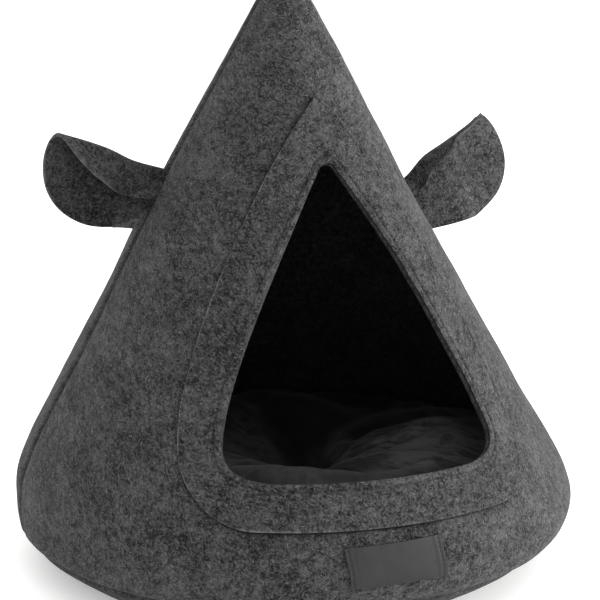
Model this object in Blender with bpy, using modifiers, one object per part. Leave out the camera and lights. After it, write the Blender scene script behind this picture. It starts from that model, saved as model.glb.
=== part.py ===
"""Felt cat cave: a round felt floor, a conical felt wall in two panels, a facing round the pointed doorway,
two disc ears folded and sewn into the side seams, a filled cushion and a small bare label.

Units are metres and +Z is up. The doorway faces -Y, the side seams lie at -X and +X, and the origin is on the
middle of the flat underside.
"""

import math
from typing import NamedTuple

import bmesh
import bpy
from mathutils import Matrix, Vector

OBJECT_NAME = "felt_cat_cave"

# ---------------------------------------------------------------- driving sizes
WALL_FELT = 0.003            # thickness of the two wall panels
FACING_FELT = 0.002          # thickness of the band round the doorway
FLOOR_FELT = 0.004           # thickness of the floor piece
EAR_FELT = 0.003
LABEL_CLOTH = 0.001
GAP = 0.0003                 # clearance between pieces that touch on the real cave
SEAM_HEIGHT = 0.027          # where the floor's turned-up rim meets the wall
TIP_LEAST_RADIUS = 0.002     # the wall's section ends here and is closed by a blunt point
TIP_BLUNTNESS = 0.7          # height of that point over its radius
TURN_STEPS = 48              # facets round the wall, the same for everything that follows it
BELLY_ROW = 0.0105           # spacing of the facet rows where the wall curves most
CONE_ROW = 0.036             # and where it is nearly straight
BELLY_TOP = 0.105
START_CROWDING = 1.35        # draws an outline's points together where each of its curves begins
SLAB_COLUMNS = 12            # facets across a cutter that follows the wall
CUT_INWARD = 0.015           # how far such a cutter reaches inside the wall
CUT_OUTWARD = 0.015          # and outside it
HALF_SPACE = 1.2             # side of the blocks that part the front from the back
SHARP_ANGLE = math.radians(40)  # facets that meet at more than this are shaded with an edge between them
FLOOR_RIM_HEIGHTS = (0.009, 0.018)   # facet rows of the floor's turned-up rim


class Row(NamedTuple):
    """One row of a table that is read by height."""

    height: float
    value: float


# Radius of the wall's outer face. The cave is widest a hand's breadth above its floor.
WALL_RADIUS = (
    Row(0.0000, 0.1764),
    Row(0.0120, 0.1944),
    Row(0.0240, 0.2101),
    Row(0.0380, 0.2220),
    Row(0.0520, 0.2249),
    Row(0.0700, 0.2225),
    Row(0.0950, 0.2123),
    Row(0.1300, 0.1927),
    Row(0.1800, 0.1641),
    Row(0.2400, 0.1308),
    Row(0.3100, 0.0940),
    Row(0.3800, 0.0554),
    Row(0.4670, 0.0066),
)

# Sideways lean of the wall's middle, towards +X: soft felt does not stand quite true.
WALL_LEAN = (
    Row(0.000, 0.0000),
    Row(0.024, 0.0017),
    Row(0.038, 0.0063),
    Row(0.052, 0.0076),
    Row(0.070, 0.0054),
    Row(0.095, 0.0027),
    Row(0.130, 0.0010),
    Row(0.180, -0.0003),
    Row(0.240, -0.0015),
    Row(0.310, -0.0034),
    Row(0.380, -0.0026),
    Row(0.472, -0.0010),
)

# Sideways shift of the doorway and its facing: their point hangs a little to the right of their sill.
DOORWAY_DRIFT = (
    Row(0.080, -0.0025),
    Row(0.150, -0.0025),
    Row(0.190, -0.0008),
    Row(0.225, 0.0015),
    Row(0.260, 0.0038),
    Row(0.300, 0.0052),
    Row(0.370, 0.0050),
)


class OutlinePoint(NamedTuple):
    """A point of an outline drawn on the wall: across it from the doorway's middle line, and its height."""

    across: float
    height: float


# Right half of the doorway, top to bottom: a rounded point, a long side, a round corner and a level sill.
DOORWAY_TOP = OutlinePoint(0.0, 0.3215)
DOORWAY_CURVES = (
    (DOORWAY_TOP, OutlinePoint(0.0060, 0.3215), OutlinePoint(0.0075, 0.3150), OutlinePoint(0.0110, 0.3110)),
    (OutlinePoint(0.0110, 0.3110), OutlinePoint(0.0300, 0.2850), OutlinePoint(0.1060, 0.1600),
     OutlinePoint(0.1058, 0.1310)),
    (OutlinePoint(0.1058, 0.1310), OutlinePoint(0.1050, 0.1210), OutlinePoint(0.0950, 0.1160),
     OutlinePoint(0.0740, 0.1146)),
)

# Right half of the facing's outer edge: a point, a long side, a round corner and a level lower edge.
FACING_CURVES = (
    (OutlinePoint(0.0, 0.3690), OutlinePoint(0.0550, 0.3130), OutlinePoint(0.1370, 0.1750),
     OutlinePoint(0.1378, 0.1280)),
    (OutlinePoint(0.1378, 0.1280), OutlinePoint(0.1395, 0.1080), OutlinePoint(0.1230, 0.0880),
     OutlinePoint(0.0960, 0.0858)),
)

# The label, sewn on a little askew under the doorway.
LABEL_WIDTH = 0.071
LABEL_HEIGHT = 0.028
LABEL_CENTRE = OutlinePoint(-0.0025, 0.0620)
LABEL_TILT = math.radians(1.6)


class EarFold(NamedTuple):
    """How an ear is curled at one distance along its crease."""

    along: float
    curl_radius: float
    curl_degrees: float
    roll_degrees: float


class Ear(NamedTuple):
    """Where an ear's crease leaves the wall, how steeply it climbs, its flat cut and how it is curled."""

    name: str
    side: float
    crease_x: float
    crease_z: float
    climb_degrees: float
    disc_drop: float         # middle of the disc below the crease
    disc_radius: float
    disc_reach: float        # middle of the disc from the wall, along the crease
    root_above: float        # width of the root above the middle of the disc
    root_below: float        # and below it
    sweep_back: float        # how quickly it curves backwards, as metres for each square metre along
    folds: tuple


# Both ears are a disc with a broad root, its crease a little off the middle.
EAR_ROOT_INSET = 0.030       # how far the root runs on into the wall before it is trimmed
EAR_SWEEP = math.radians(104)   # half of the disc's edge that is free, from the crease to where the root begins
EAR_ROWS = 9
EAR_COLUMNS = 22
EAR_CREASE_COLUMN = -0.13    # where the crease lies between the two edges, from -1 to 1
EAR_COLUMN_CROWDING = 1.5

EARS = (
    Ear("ear_left", -1.0, -0.1000, 0.3082, 16.6, 0.0068, 0.0463, 0.0442, 0.0291, 0.0291, 0.0, (
        EarFold(-0.030, 0.0036, 172.0, 0.0),
        EarFold(0.000, 0.0036, 172.0, 0.0),
        EarFold(0.025, 0.0048, 160.0, -9.0),
        EarFold(0.050, 0.0087, 147.0, -11.0),
        EarFold(0.075, 0.0097, 137.0, -6.0),
        EarFold(0.100, 0.0099, 119.0, 4.0),
    )),
    Ear("ear_right", 1.0, 0.1062, 0.2943, 33.8, 0.0143, 0.0484, 0.0480, 0.0299, 0.0193, 2.0, (
        EarFold(-0.030, 0.0044, 170.0, 0.0),
        EarFold(0.000, 0.0044, 170.0, 0.0),
        EarFold(0.025, 0.0097, 128.0, 2.5),
        EarFold(0.050, 0.0095, 73.5, -3.5),
        EarFold(0.075, 0.0030, 68.1, 1.1),
        EarFold(0.100, 0.0031, 103.0, 4.0),
    )),
)


class Section(NamedTuple):
    """A point of the cushion's upright section: radius from its middle and height above the ground."""

    radius: float
    height: float


# Crown of the cushion from its tufted middle to the shoulder where it meets the wall.
CUSHION_CROWN = (
    Section(0.016, 0.0655),
    Section(0.035, 0.0720),
    Section(0.060, 0.0800),
    Section(0.090, 0.0860),
    Section(0.120, 0.0885),
    Section(0.150, 0.0880),
    Section(0.175, 0.0850),
    Section(0.194, 0.0790),
)
CUSHION_MIDDLE_HEIGHT = 0.0640
CUSHION_STEPS = 36
CUSHION_CLEARANCE = 0.0016   # from the wall and the floor's rim, between flat facets
CUSHION_SIDE_HEIGHTS = (0.068, 0.056, 0.043, 0.030, 0.019, 0.010)
CUSHION_FOOT_RADIUS = 0.166
CUSHION_FOOT_RING = 0.083     # a ring of points half-way in under the cushion
CUSHION_BLEND = 0.010        # height over which the mounds die away towards the sides


class Mound(NamedTuple):
    """A soft rise or hollow in the top of the cushion, longer one way than the other."""

    x: float
    y: float
    long_radius: float
    short_radius: float
    turn_degrees: float
    rise: float


CUSHION_MOUNDS = (
    Mound(0.130, 0.010, 0.070, 0.030, 78.0, 0.0070),     # puffed right side
    Mound(-0.055, -0.010, 0.055, 0.032, 70.0, 0.0050),   # left of the tuft
    Mound(0.000, 0.080, 0.060, 0.020, 95.0, 0.0045),     # ridge running back from the tuft
    Mound(0.045, -0.060, 0.050, 0.024, 20.0, 0.0045),    # front roll
    Mound(0.022, 0.002, 0.020, 0.014, 10.0, -0.0050),    # the tuft's hollow
    Mound(0.065, 0.045, 0.050, 0.016, 35.0, -0.0050),    # crease from the tuft to the back right
    Mound(-0.020, -0.075, 0.040, 0.014, 110.0, -0.0040), # crease from the tuft to the front
)


class Finish(NamedTuple):
    """Name, colour and roughness of a sub-part's material."""

    name: str
    colour: tuple
    roughness: float


WALL_FINISH = Finish("grey_marl_felt", (0.062, 0.062, 0.064), 0.95)
FLOOR_FINISH = Finish("floor_felt", (0.050, 0.050, 0.052), 0.95)
CUSHION_FINISH = Finish("dark_plush", (0.018, 0.018, 0.019), 0.90)
LABEL_FINISH = Finish("woven_label", (0.070, 0.070, 0.070), 0.55)


# ---------------------------------------------------------------- the wall as a surface
def table_slopes(table):
    """Slope at each row of a table, level where its values turn, so that the curve never overshoots."""
    spans = [(after.value - before.value) / (after.height - before.height)
             for before, after in zip(table, table[1:])]
    inner = [0.0 if left * right <= 0.0 else 2.0 * left * right / (left + right)
             for left, right in zip(spans, spans[1:])]
    return [spans[0], *inner, spans[-1]]


def read_table(table, height):
    """Value at a height, on a smooth curve through the table's rows."""
    height = min(max(height, table[0].height), table[-1].height)
    slopes = table_slopes(table)
    index = 0
    while index < len(table) - 2 and height > table[index + 1].height:
        index += 1
    low, high = table[index], table[index + 1]
    span = high.height - low.height
    part = (height - low.height) / span
    rest = 1.0 - part
    return (
        low.value * (1.0 + 2.0 * part) * rest ** 2
        + slopes[index] * span * part * rest ** 2
        + high.value * (3.0 - 2.0 * part) * part ** 2
        - slopes[index + 1] * span * part ** 2 * rest
    )


def wall_slope(height):
    """Change of the wall's radius with height."""
    step = 0.0005
    return (read_table(WALL_RADIUS, height + step) - read_table(WALL_RADIUS, height - step)) / (2.0 * step)


def wall_offset(height, offset):
    """Radius and height of the point that lies offset outside the wall's face, square to it."""
    slope = wall_slope(height)
    length = math.hypot(1.0, slope)
    return read_table(WALL_RADIUS, height) + offset / length, height - offset * slope / length


def wall_point(across, height, offset):
    """Point of the leaning wall, across it from the doorway's middle line and offset square to its face."""
    turn = across / read_table(WALL_RADIUS, height)
    radius, lifted = wall_offset(height, offset)
    return Vector((
        radius * math.sin(turn) + read_table(WALL_LEAN, lifted),
        -radius * math.cos(turn),
        lifted,
    ))


def row_heights(low, high):
    """Heights of the facet rows from low to high, close together over the belly."""
    heights = []
    height = low
    while height < high:
        heights.append(height)
        height += BELLY_ROW if height < BELLY_TOP else CONE_ROW
    return [*heights, high]


# ---------------------------------------------------------------- mesh helpers
def link(name, mesh, collection):
    """New object of a mesh, in a collection."""
    piece = bpy.data.objects.new(name, mesh)
    collection.objects.link(piece)
    return piece


def lean(mesh):
    """Shift every point sideways with the wall's lean."""
    for vertex in mesh.vertices:
        vertex.co.x += read_table(WALL_LEAN, vertex.co.z)


def turned(name, profile, steps, collection):
    """Leaning solid turned from a profile of (radius, height) points that starts and ends on its axis."""
    rig = bmesh.new()
    points = [rig.verts.new((radius, 0.0, height)) for radius, height in profile]
    for upper, lower in zip(points, points[1:]):
        rig.edges.new((upper, lower))
    mesh = bpy.data.meshes.new(name)
    rig.to_mesh(mesh)
    rig.free()
    piece = link(name, mesh, collection)
    screw = piece.modifiers.new("Turn", "SCREW")
    screw.axis = "Z"
    screw.steps = steps
    screw.render_steps = steps
    screw.use_merge_vertices = True
    screw.merge_threshold = 0.00001
    solid = apply_modifiers(piece)
    solid.data.transform(Matrix.Rotation(math.pi / steps, 4, "Z"))
    lean(solid.data)
    return solid


def apply_modifiers(piece):
    """The same object with its modifiers applied to its mesh."""
    bpy.context.view_layer.update()
    depsgraph = bpy.context.evaluated_depsgraph_get()
    finished = bpy.data.meshes.new_from_object(piece.evaluated_get(depsgraph))
    piece.modifiers.clear()
    piece.data = finished
    return piece


def cut(piece, cutter, operation="DIFFERENCE"):
    """Cut a piece with another solid, or keep only what the two share."""
    boolean = piece.modifiers.new(cutter.name, "BOOLEAN")
    boolean.operation = operation
    boolean.solver = "EXACT"
    boolean.object = cutter
    return apply_modifiers(piece)


def as_cutter(piece):
    """Mark a solid as a cutter, drawn as wires."""
    piece.hide_render = True
    piece.display_type = "WIRE"
    return piece


def finish_piece(piece, finish, parts):
    """Give a piece its material and smooth shading, and move it among the parts."""
    material = bpy.data.materials.new(f"{piece.name}_{finish.name}")
    material.use_nodes = True
    shader = material.node_tree.nodes["Principled BSDF"]
    shader.inputs["Base Color"].default_value = (*finish.colour, 1.0)
    shader.inputs["Roughness"].default_value = finish.roughness
    shader.inputs["Metallic"].default_value = 0.0
    piece.data.materials.clear()
    piece.data.materials.append(material)
    piece.data.shade_smooth()
    piece.data.set_sharp_from_angle(angle=SHARP_ANGLE)
    for collection in list(piece.users_collection):
        collection.objects.unlink(piece)
    parts.objects.link(piece)
    return piece


# ---------------------------------------------------------------- solids that follow the wall
def outside_profile(offset, low):
    """Section of everything within the surface that lies offset outside the wall, above a height."""
    points = [wall_offset(height, offset) for height in row_heights(low, WALL_RADIUS[-1].height)]
    points = [point for point in points if point[0] > TIP_LEAST_RADIUS]
    tip_radius, tip_height = points[-1]
    top = (0.0, tip_height + TIP_BLUNTNESS * tip_radius)
    return [top, *reversed(points), (0.0, points[0][1])]


def wall_solid(name, offset, low, collection):
    """Closed solid within the surface that lies offset outside the wall."""
    return turned(name, outside_profile(offset, low), TURN_STEPS, collection)


def shell(name, near, far, cutters):
    """Sheet that follows the wall between two offsets, closed round the whole cave."""
    low = SEAM_HEIGHT + BELLY_ROW
    sheet = wall_solid(name, far, low, cutters)
    core = as_cutter(wall_solid(f"{name}_core", near, low - BELLY_ROW, cutters))
    return cut(sheet, core)


def curve_point(curve, part):
    """Point part of the way along a curve of two ends and two handles."""
    rest = 1.0 - part
    weights = (rest ** 3, 3.0 * rest ** 2 * part, 3.0 * rest * part ** 2, part ** 3)
    across = sum(weight * point.across for weight, point in zip(weights, curve))
    height = sum(weight * point.height for weight, point in zip(weights, curve))
    return OutlinePoint(across, height)


def half_outline(curves, steps):
    """Points down the right half of an outline, just below its point to its lower corner."""
    points = []
    for curve, count in zip(curves, steps):
        points += [curve_point(curve, ((index + 1) / count) ** START_CROWDING) for index in range(count)]
    return points


def wrapped_slab(name, edges, inward, outward, cutters):
    """Cutter that stands square to the wall, within left and right edge points listed from top to bottom."""
    rows = len(edges) - 1
    rig = bmesh.new()
    bmesh.ops.create_grid(rig, x_segments=SLAB_COLUMNS, y_segments=rows, size=1.0)
    doubled = bmesh.ops.extrude_face_region(rig, geom=rig.faces[:], use_keep_orig=True)
    far = {item for item in doubled["geom"] if isinstance(item, bmesh.types.BMVert)}
    for vertex in rig.verts:
        left, right = edges[round((1.0 - vertex.co.y) / 2.0 * rows)]
        part = (vertex.co.x + 1.0) / 2.0
        across = left.across + part * (right.across - left.across)
        height = left.height + part * (right.height - left.height)
        vertex.co = wall_point(across, height, outward if vertex in far else -inward)
    bmesh.ops.triangulate(rig, faces=rig.faces[:])
    bmesh.ops.recalc_face_normals(rig, faces=rig.faces[:])
    mesh = bpy.data.meshes.new(name)
    rig.to_mesh(mesh)
    rig.free()
    return as_cutter(link(name, mesh, cutters))


def symmetric_slab(name, curves, steps, cutters):
    """Cutter of an outline given by its right half."""
    edges = []
    for point in half_outline(curves, steps):
        drift = read_table(DOORWAY_DRIFT, point.height)
        left = OutlinePoint(drift - point.across, point.height)
        right = OutlinePoint(drift + point.across, point.height)
        edges.append((left, right))
    return wrapped_slab(name, edges, CUT_INWARD, CUT_OUTWARD, cutters)


def half_space(name, side, cutters):
    """Block that holds all of the cave in front of the side seams (side -1) or behind them (side 1)."""
    middle = side * (HALF_SPACE + GAP) / 2.0
    bpy.ops.mesh.primitive_cube_add(size=HALF_SPACE, location=(0.0, middle, HALF_SPACE / 4.0))
    block = bpy.context.active_object
    block.name = name
    for collection in list(block.users_collection):
        collection.objects.unlink(block)
    cutters.objects.link(block)
    return as_cutter(block)


# ---------------------------------------------------------------- the pieces
def build_wall_panels(doorway, parts, cutters):
    """Front and back halves of the wall, the front one with the doorway cut in it."""
    for name, side in (("front_panel", -1.0), ("back_panel", 1.0)):
        panel = wall_solid(name, 0.0, SEAM_HEIGHT + GAP, cutters)
        cavity = as_cutter(wall_solid(f"{name}_cavity", -WALL_FELT, SEAM_HEIGHT - BELLY_ROW, cutters))
        panel = cut(panel, cavity)
        panel = cut(panel, half_space(f"{name}_side", side, cutters), "INTERSECT")
        if name == "front_panel":
            panel = cut(panel, doorway)
        finish_piece(panel, WALL_FINISH, parts)


def build_door_facing(doorway, parts, cutters):
    """Raised felt band round the doorway."""
    outline = symmetric_slab("facing_outline", FACING_CURVES, (16, 6), cutters)
    band = shell("door_facing", GAP, GAP + FACING_FELT, cutters)
    band = cut(band, outline, "INTERSECT")
    band = cut(band, doorway)
    finish_piece(band, WALL_FINISH, parts)


def build_label(parts, cutters):
    """Small woven label, a rectangle turned a little on the wall."""
    def corner(right, up):
        x = right * LABEL_WIDTH / 2.0
        y = up * LABEL_HEIGHT / 2.0
        return OutlinePoint(
            LABEL_CENTRE.across + x * math.cos(LABEL_TILT) - y * math.sin(LABEL_TILT),
            LABEL_CENTRE.height + x * math.sin(LABEL_TILT) + y * math.cos(LABEL_TILT),
        )

    edges = [(corner(-1.0, up), corner(1.0, up)) for up in (1.0, 0.0, -1.0)]
    outline = wrapped_slab("label_outline", edges, CUT_INWARD, CUT_OUTWARD, cutters)
    label = shell("label", GAP, GAP + LABEL_CLOTH, cutters)
    label = cut(label, outline, "INTERSECT")
    finish_piece(label, LABEL_FINISH, parts)


def build_floor(parts, cutters):
    """Round felt floor whose rim turns up to the wall's lower edge."""
    rim = (*FLOOR_RIM_HEIGHTS, SEAM_HEIGHT)
    outer = [(read_table(WALL_RADIUS, height), height) for height in (0.0, *rim)]
    inner = []
    for height in (FLOOR_FELT, *rim):
        inset = FLOOR_FELT * math.hypot(1.0, wall_slope(height))
        inner.append((read_table(WALL_RADIUS, height) - inset, height))
    profile = [(0.0, FLOOR_FELT), *inner, *reversed(outer), (0.0, 0.0)]
    floor = turned("base_panel", profile, TURN_STEPS, cutters)
    finish_piece(floor, FLOOR_FINISH, parts)


def mound_rise(mound, x, y):
    """Height that a mound adds at a place on the cushion."""
    turn = math.radians(mound.turn_degrees)
    along = (x - mound.x) * math.cos(turn) + (y - mound.y) * math.sin(turn)
    aside = (y - mound.y) * math.cos(turn) - (x - mound.x) * math.sin(turn)
    return mound.rise * math.exp(-(along / mound.long_radius) ** 2 - (aside / mound.short_radius) ** 2)


def build_cushion(parts, cutters):
    """Filled cushion that fills the floor: full sides, a puffed ring and a tufted middle."""
    sides = []
    for height in CUSHION_SIDE_HEIGHTS:
        cloth = FLOOR_FELT if height < SEAM_HEIGHT else WALL_FELT
        inset = (cloth + CUSHION_CLEARANCE) * math.hypot(1.0, wall_slope(height))
        sides.append((read_table(WALL_RADIUS, height) - inset, height))
    bottom = FLOOR_FELT + GAP
    profile = [
        (0.0, CUSHION_MIDDLE_HEIGHT),
        *((point.radius, point.height) for point in CUSHION_CROWN),
        *sides,
        (CUSHION_FOOT_RADIUS, bottom),
        (CUSHION_FOOT_RING, bottom),
        (0.0, bottom),
    ]
    cushion = turned("cushion", profile, CUSHION_STEPS, cutters)
    for vertex in cushion.data.vertices:
        x, y, z = vertex.co
        if z < CUSHION_MIDDLE_HEIGHT:
            continue
        inner = math.hypot(x, y) < CUSHION_CROWN[2].radius
        share = 1.0 if inner else min(max((z - CUSHION_SIDE_HEIGHTS[0]) / CUSHION_BLEND, 0.0), 1.0)
        vertex.co.z = z + share * sum(mound_rise(mound, x, y) for mound in CUSHION_MOUNDS)
    finish_piece(cushion, CUSHION_FINISH, parts)


def ear_cut(ear, out, across):
    """Place on the flat cut of an ear: from its root (out 0) to its edge (out 1), and from -1 to 1 across it."""
    half_width = ear.root_above if across < 0.0 else ear.root_below
    root = Vector((-EAR_ROOT_INSET, ear.disc_drop + half_width * across))
    edge = Vector((
        ear.disc_reach + ear.disc_radius * math.cos(EAR_SWEEP * across),
        ear.disc_drop + ear.disc_radius * math.sin(EAR_SWEEP * across),
    ))
    return root.lerp(edge, out)


def ear_fold(ear, along):
    """Curl radius, curl angle and roll angle of an ear at a distance along its crease."""
    columns = []
    for column in ("curl_radius", "curl_degrees", "roll_degrees"):
        table = [Row(fold.along, getattr(fold, column)) for fold in ear.folds]
        columns.append(read_table(table, along))
    radius, curl, roll = columns
    return radius, math.radians(curl), math.radians(roll)


def ear_point(ear, along, down):
    """Folded place of a point of the flat cut: along the crease, and down from it (up and over where negative)."""
    radius, curl, roll = ear_fold(ear, along)
    forward, drop = 0.0, down
    if down < 0.0:
        turn = min(-down / radius, curl)
        straight = max(-down - radius * curl, 0.0)
        forward = radius * (1.0 - math.cos(turn)) + straight * math.sin(curl)
        drop = -radius * math.sin(turn) - straight * math.cos(curl)
    forward, drop = (
        forward * math.cos(roll) + drop * math.sin(roll),
        drop * math.cos(roll) - forward * math.sin(roll),
    )
    climb = math.radians(ear.climb_degrees)
    return Vector((
        ear.crease_x + ear.side * (along * math.cos(climb) + drop * math.sin(climb)),
        ear.folds[0].curl_radius - forward + ear.sweep_back * max(along, 0.0) ** 2,
        ear.crease_z + along * math.sin(climb) - drop * math.cos(climb),
    ))


def build_ear(ear, wall, parts, cutters):
    """One felt disc, curled over along its crease and trimmed where it goes into the side seam."""
    rig = bmesh.new()
    bmesh.ops.create_grid(rig, x_segments=EAR_ROWS, y_segments=EAR_COLUMNS, size=1.0)
    for vertex in rig.verts:
        out = (vertex.co.x + 1.0) / 2.0
        spread = abs(vertex.co.y) ** EAR_COLUMN_CROWDING
        if vertex.co.y < 0.0:
            across = EAR_CREASE_COLUMN - (1.0 + EAR_CREASE_COLUMN) * spread
        else:
            across = EAR_CREASE_COLUMN + (1.0 - EAR_CREASE_COLUMN) * spread
        along, down = ear_cut(ear, out, across)
        vertex.co = ear_point(ear, along, down)
    mesh = bpy.data.meshes.new(ear.name)
    rig.to_mesh(mesh)
    rig.free()
    piece = link(ear.name, mesh, cutters)
    thicken = piece.modifiers.new("Felt", "SOLIDIFY")
    thicken.thickness = EAR_FELT
    thicken.offset = 0.0
    piece = cut(apply_modifiers(piece), wall)
    finish_piece(piece, WALL_FINISH, parts)


def clear_scene():
    """Remove every object."""
    for existing in list(bpy.data.objects):
        bpy.data.objects.remove(existing, do_unlink=True)


def new_collection(name):
    """New collection in the scene."""
    collection = bpy.data.collections.new(name)
    bpy.context.scene.collection.children.link(collection)
    return collection


def main():
    """Build the whole cat cave."""
    clear_scene()
    parts = new_collection(OBJECT_NAME)
    cutters = new_collection(f"{OBJECT_NAME}_cutters")
    doorway = symmetric_slab("doorway", DOORWAY_CURVES, (4, 14, 5), cutters)
    build_wall_panels(doorway, parts, cutters)
    build_door_facing(doorway, parts, cutters)
    build_floor(parts, cutters)
    wall = as_cutter(wall_solid("wall_and_gap", GAP, SEAM_HEIGHT, cutters))
    for ear in EARS:
        build_ear(ear, wall, parts, cutters)
    build_cushion(parts, cutters)
    build_label(parts, cutters)


main()
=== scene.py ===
"""The looks of a felt cat cave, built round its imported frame.

Two panels of thick marl felt make a slightly leaning cone with a pointed doorway. A felt facing is
topstitched round the doorway, a felt floor turns up to the wall's lower seam, two curled ears come out of
the side seams, a plush cushion fills the floor and a bare woven label is sewn on under the doorway.

Units are metres, +Z is up and the doorway faces -Y, as in the frame.
"""

import logging
import math
from dataclasses import dataclass
from enum import Enum
from typing import Any, NamedTuple

import bmesh
import bpy
import numpy as np
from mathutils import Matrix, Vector


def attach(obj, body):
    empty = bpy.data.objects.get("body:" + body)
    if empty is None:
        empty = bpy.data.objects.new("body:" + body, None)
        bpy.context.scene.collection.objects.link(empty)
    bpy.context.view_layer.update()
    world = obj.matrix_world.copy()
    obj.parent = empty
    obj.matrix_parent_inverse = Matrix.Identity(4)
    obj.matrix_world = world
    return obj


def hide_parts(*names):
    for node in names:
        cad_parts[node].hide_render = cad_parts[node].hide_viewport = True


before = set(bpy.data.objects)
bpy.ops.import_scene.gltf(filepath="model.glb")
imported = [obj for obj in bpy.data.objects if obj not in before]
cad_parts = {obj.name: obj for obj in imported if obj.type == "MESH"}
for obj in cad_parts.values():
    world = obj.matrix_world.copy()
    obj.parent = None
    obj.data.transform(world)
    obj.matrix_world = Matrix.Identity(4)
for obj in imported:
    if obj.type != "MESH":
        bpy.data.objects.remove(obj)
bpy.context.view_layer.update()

LOG = logging.getLogger("cat_cave")

MM = 0.001
BODY = "root"
SHARP_ANGLE = math.radians(52)      # faces that meet at more than this show an edge between them
EDGE_ROUNDING = 0.16                # how far a cut edge bulges, as a share of the cloth's thickness
EDGE_CLOTH = 0.7                    # cloth in each half of a cut edge, as a share of half the thickness
CROWDING_REACH = 0.10               # part of a run over which its steps are crowded together
LEAST_STEP = 0.03                   # the smallest step there, as a share of an even one
WALL_LADDER = 900                   # steps in which the length of the wall's section is added up
BAND_PERIOD = 0.31416               # metres between the bands of a wave texture whose scale is 1

Array = np.ndarray
Piece = bpy.types.Object
Material = bpy.types.Material


def bell(distance: Array, width: float | Array) -> Array:
    """Fade softly with distance: 1 at none, about a third at the width."""
    return np.exp(-(distance / width) ** 2)


def past(value: Array, place: float, softness: float) -> Array:
    """Go softly from 0 before a place to 1 past it."""
    return 1.0 / (1.0 + np.exp((place - value) / softness))


# ---------------------------------------------------------------- tables and the wall's surface
@dataclass(frozen=True)
class HeightTable:
    """A smooth curve through (height, value) rows that never overshoots them."""

    rows: tuple[tuple[float, float], ...]

    def read(self, heights: Array) -> Array:
        """Read the curve.

        Args:
            heights: heights in metres, of any shape.

        Returns:
            The value at each height.
        """
        knots = np.array(self.rows)
        spans = np.diff(knots[:, 1]) / np.diff(knots[:, 0])
        left, right = spans[:-1], spans[1:]
        level = left * right <= 0.0
        safe = np.where(level, 1.0, left + right)
        inner = np.where(level, 0.0, 2.0 * left * right / safe)
        slopes = np.concatenate([spans[:1], inner, spans[-1:]])
        clipped = np.clip(heights, knots[0, 0], knots[-1, 0])
        index = np.clip(np.searchsorted(knots[:, 0], clipped, side="right") - 1, 0, len(knots) - 2)
        width = knots[index + 1, 0] - knots[index, 0]
        part = (clipped - knots[index, 0]) / width
        rest = 1.0 - part
        return (
            knots[index, 1] * (1.0 + 2.0 * part) * rest ** 2
            + slopes[index] * width * part * rest ** 2
            + knots[index + 1, 1] * (3.0 - 2.0 * part) * part ** 2
            - slopes[index + 1] * width * part ** 2 * rest
        )


class Wave(NamedTuple):
    """One soft undulation of the felt: its wavelength in millimetres, height in millimetres and direction."""

    length_mm: float
    rise_mm: float
    direction: tuple[float, float, float]
    phase: float


FELT_WAVES = (
    Wave(210.0, 0.55, (0.8, 0.3, 0.5), 0.4),
    Wave(160.0, 0.45, (-0.5, 0.7, 0.5), 2.1),
    Wave(96.0, 0.30, (0.3, -0.6, 0.8), 4.4),
    Wave(71.0, 0.22, (0.9, 0.1, -0.4), 1.2),
    Wave(47.0, 0.13, (-0.2, 0.8, 0.6), 5.5),
    Wave(31.0, 0.08, (0.6, 0.5, -0.7), 3.0),
    Wave(19.0, 0.05, (0.4, -0.2, 0.9), 0.9),
    Wave(12.0, 0.03, (-0.7, 0.4, 0.6), 2.7),
)


PLUSH_WAVES = (
    Wave(58.0, 0.8, (0.80, 0.60, 0.0), 0.3),
    Wave(43.0, 0.6, (-0.50, 0.85, 0.0), 1.9),
    Wave(29.0, 0.35, (0.95, -0.30, 0.0), 4.0),
)


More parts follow.
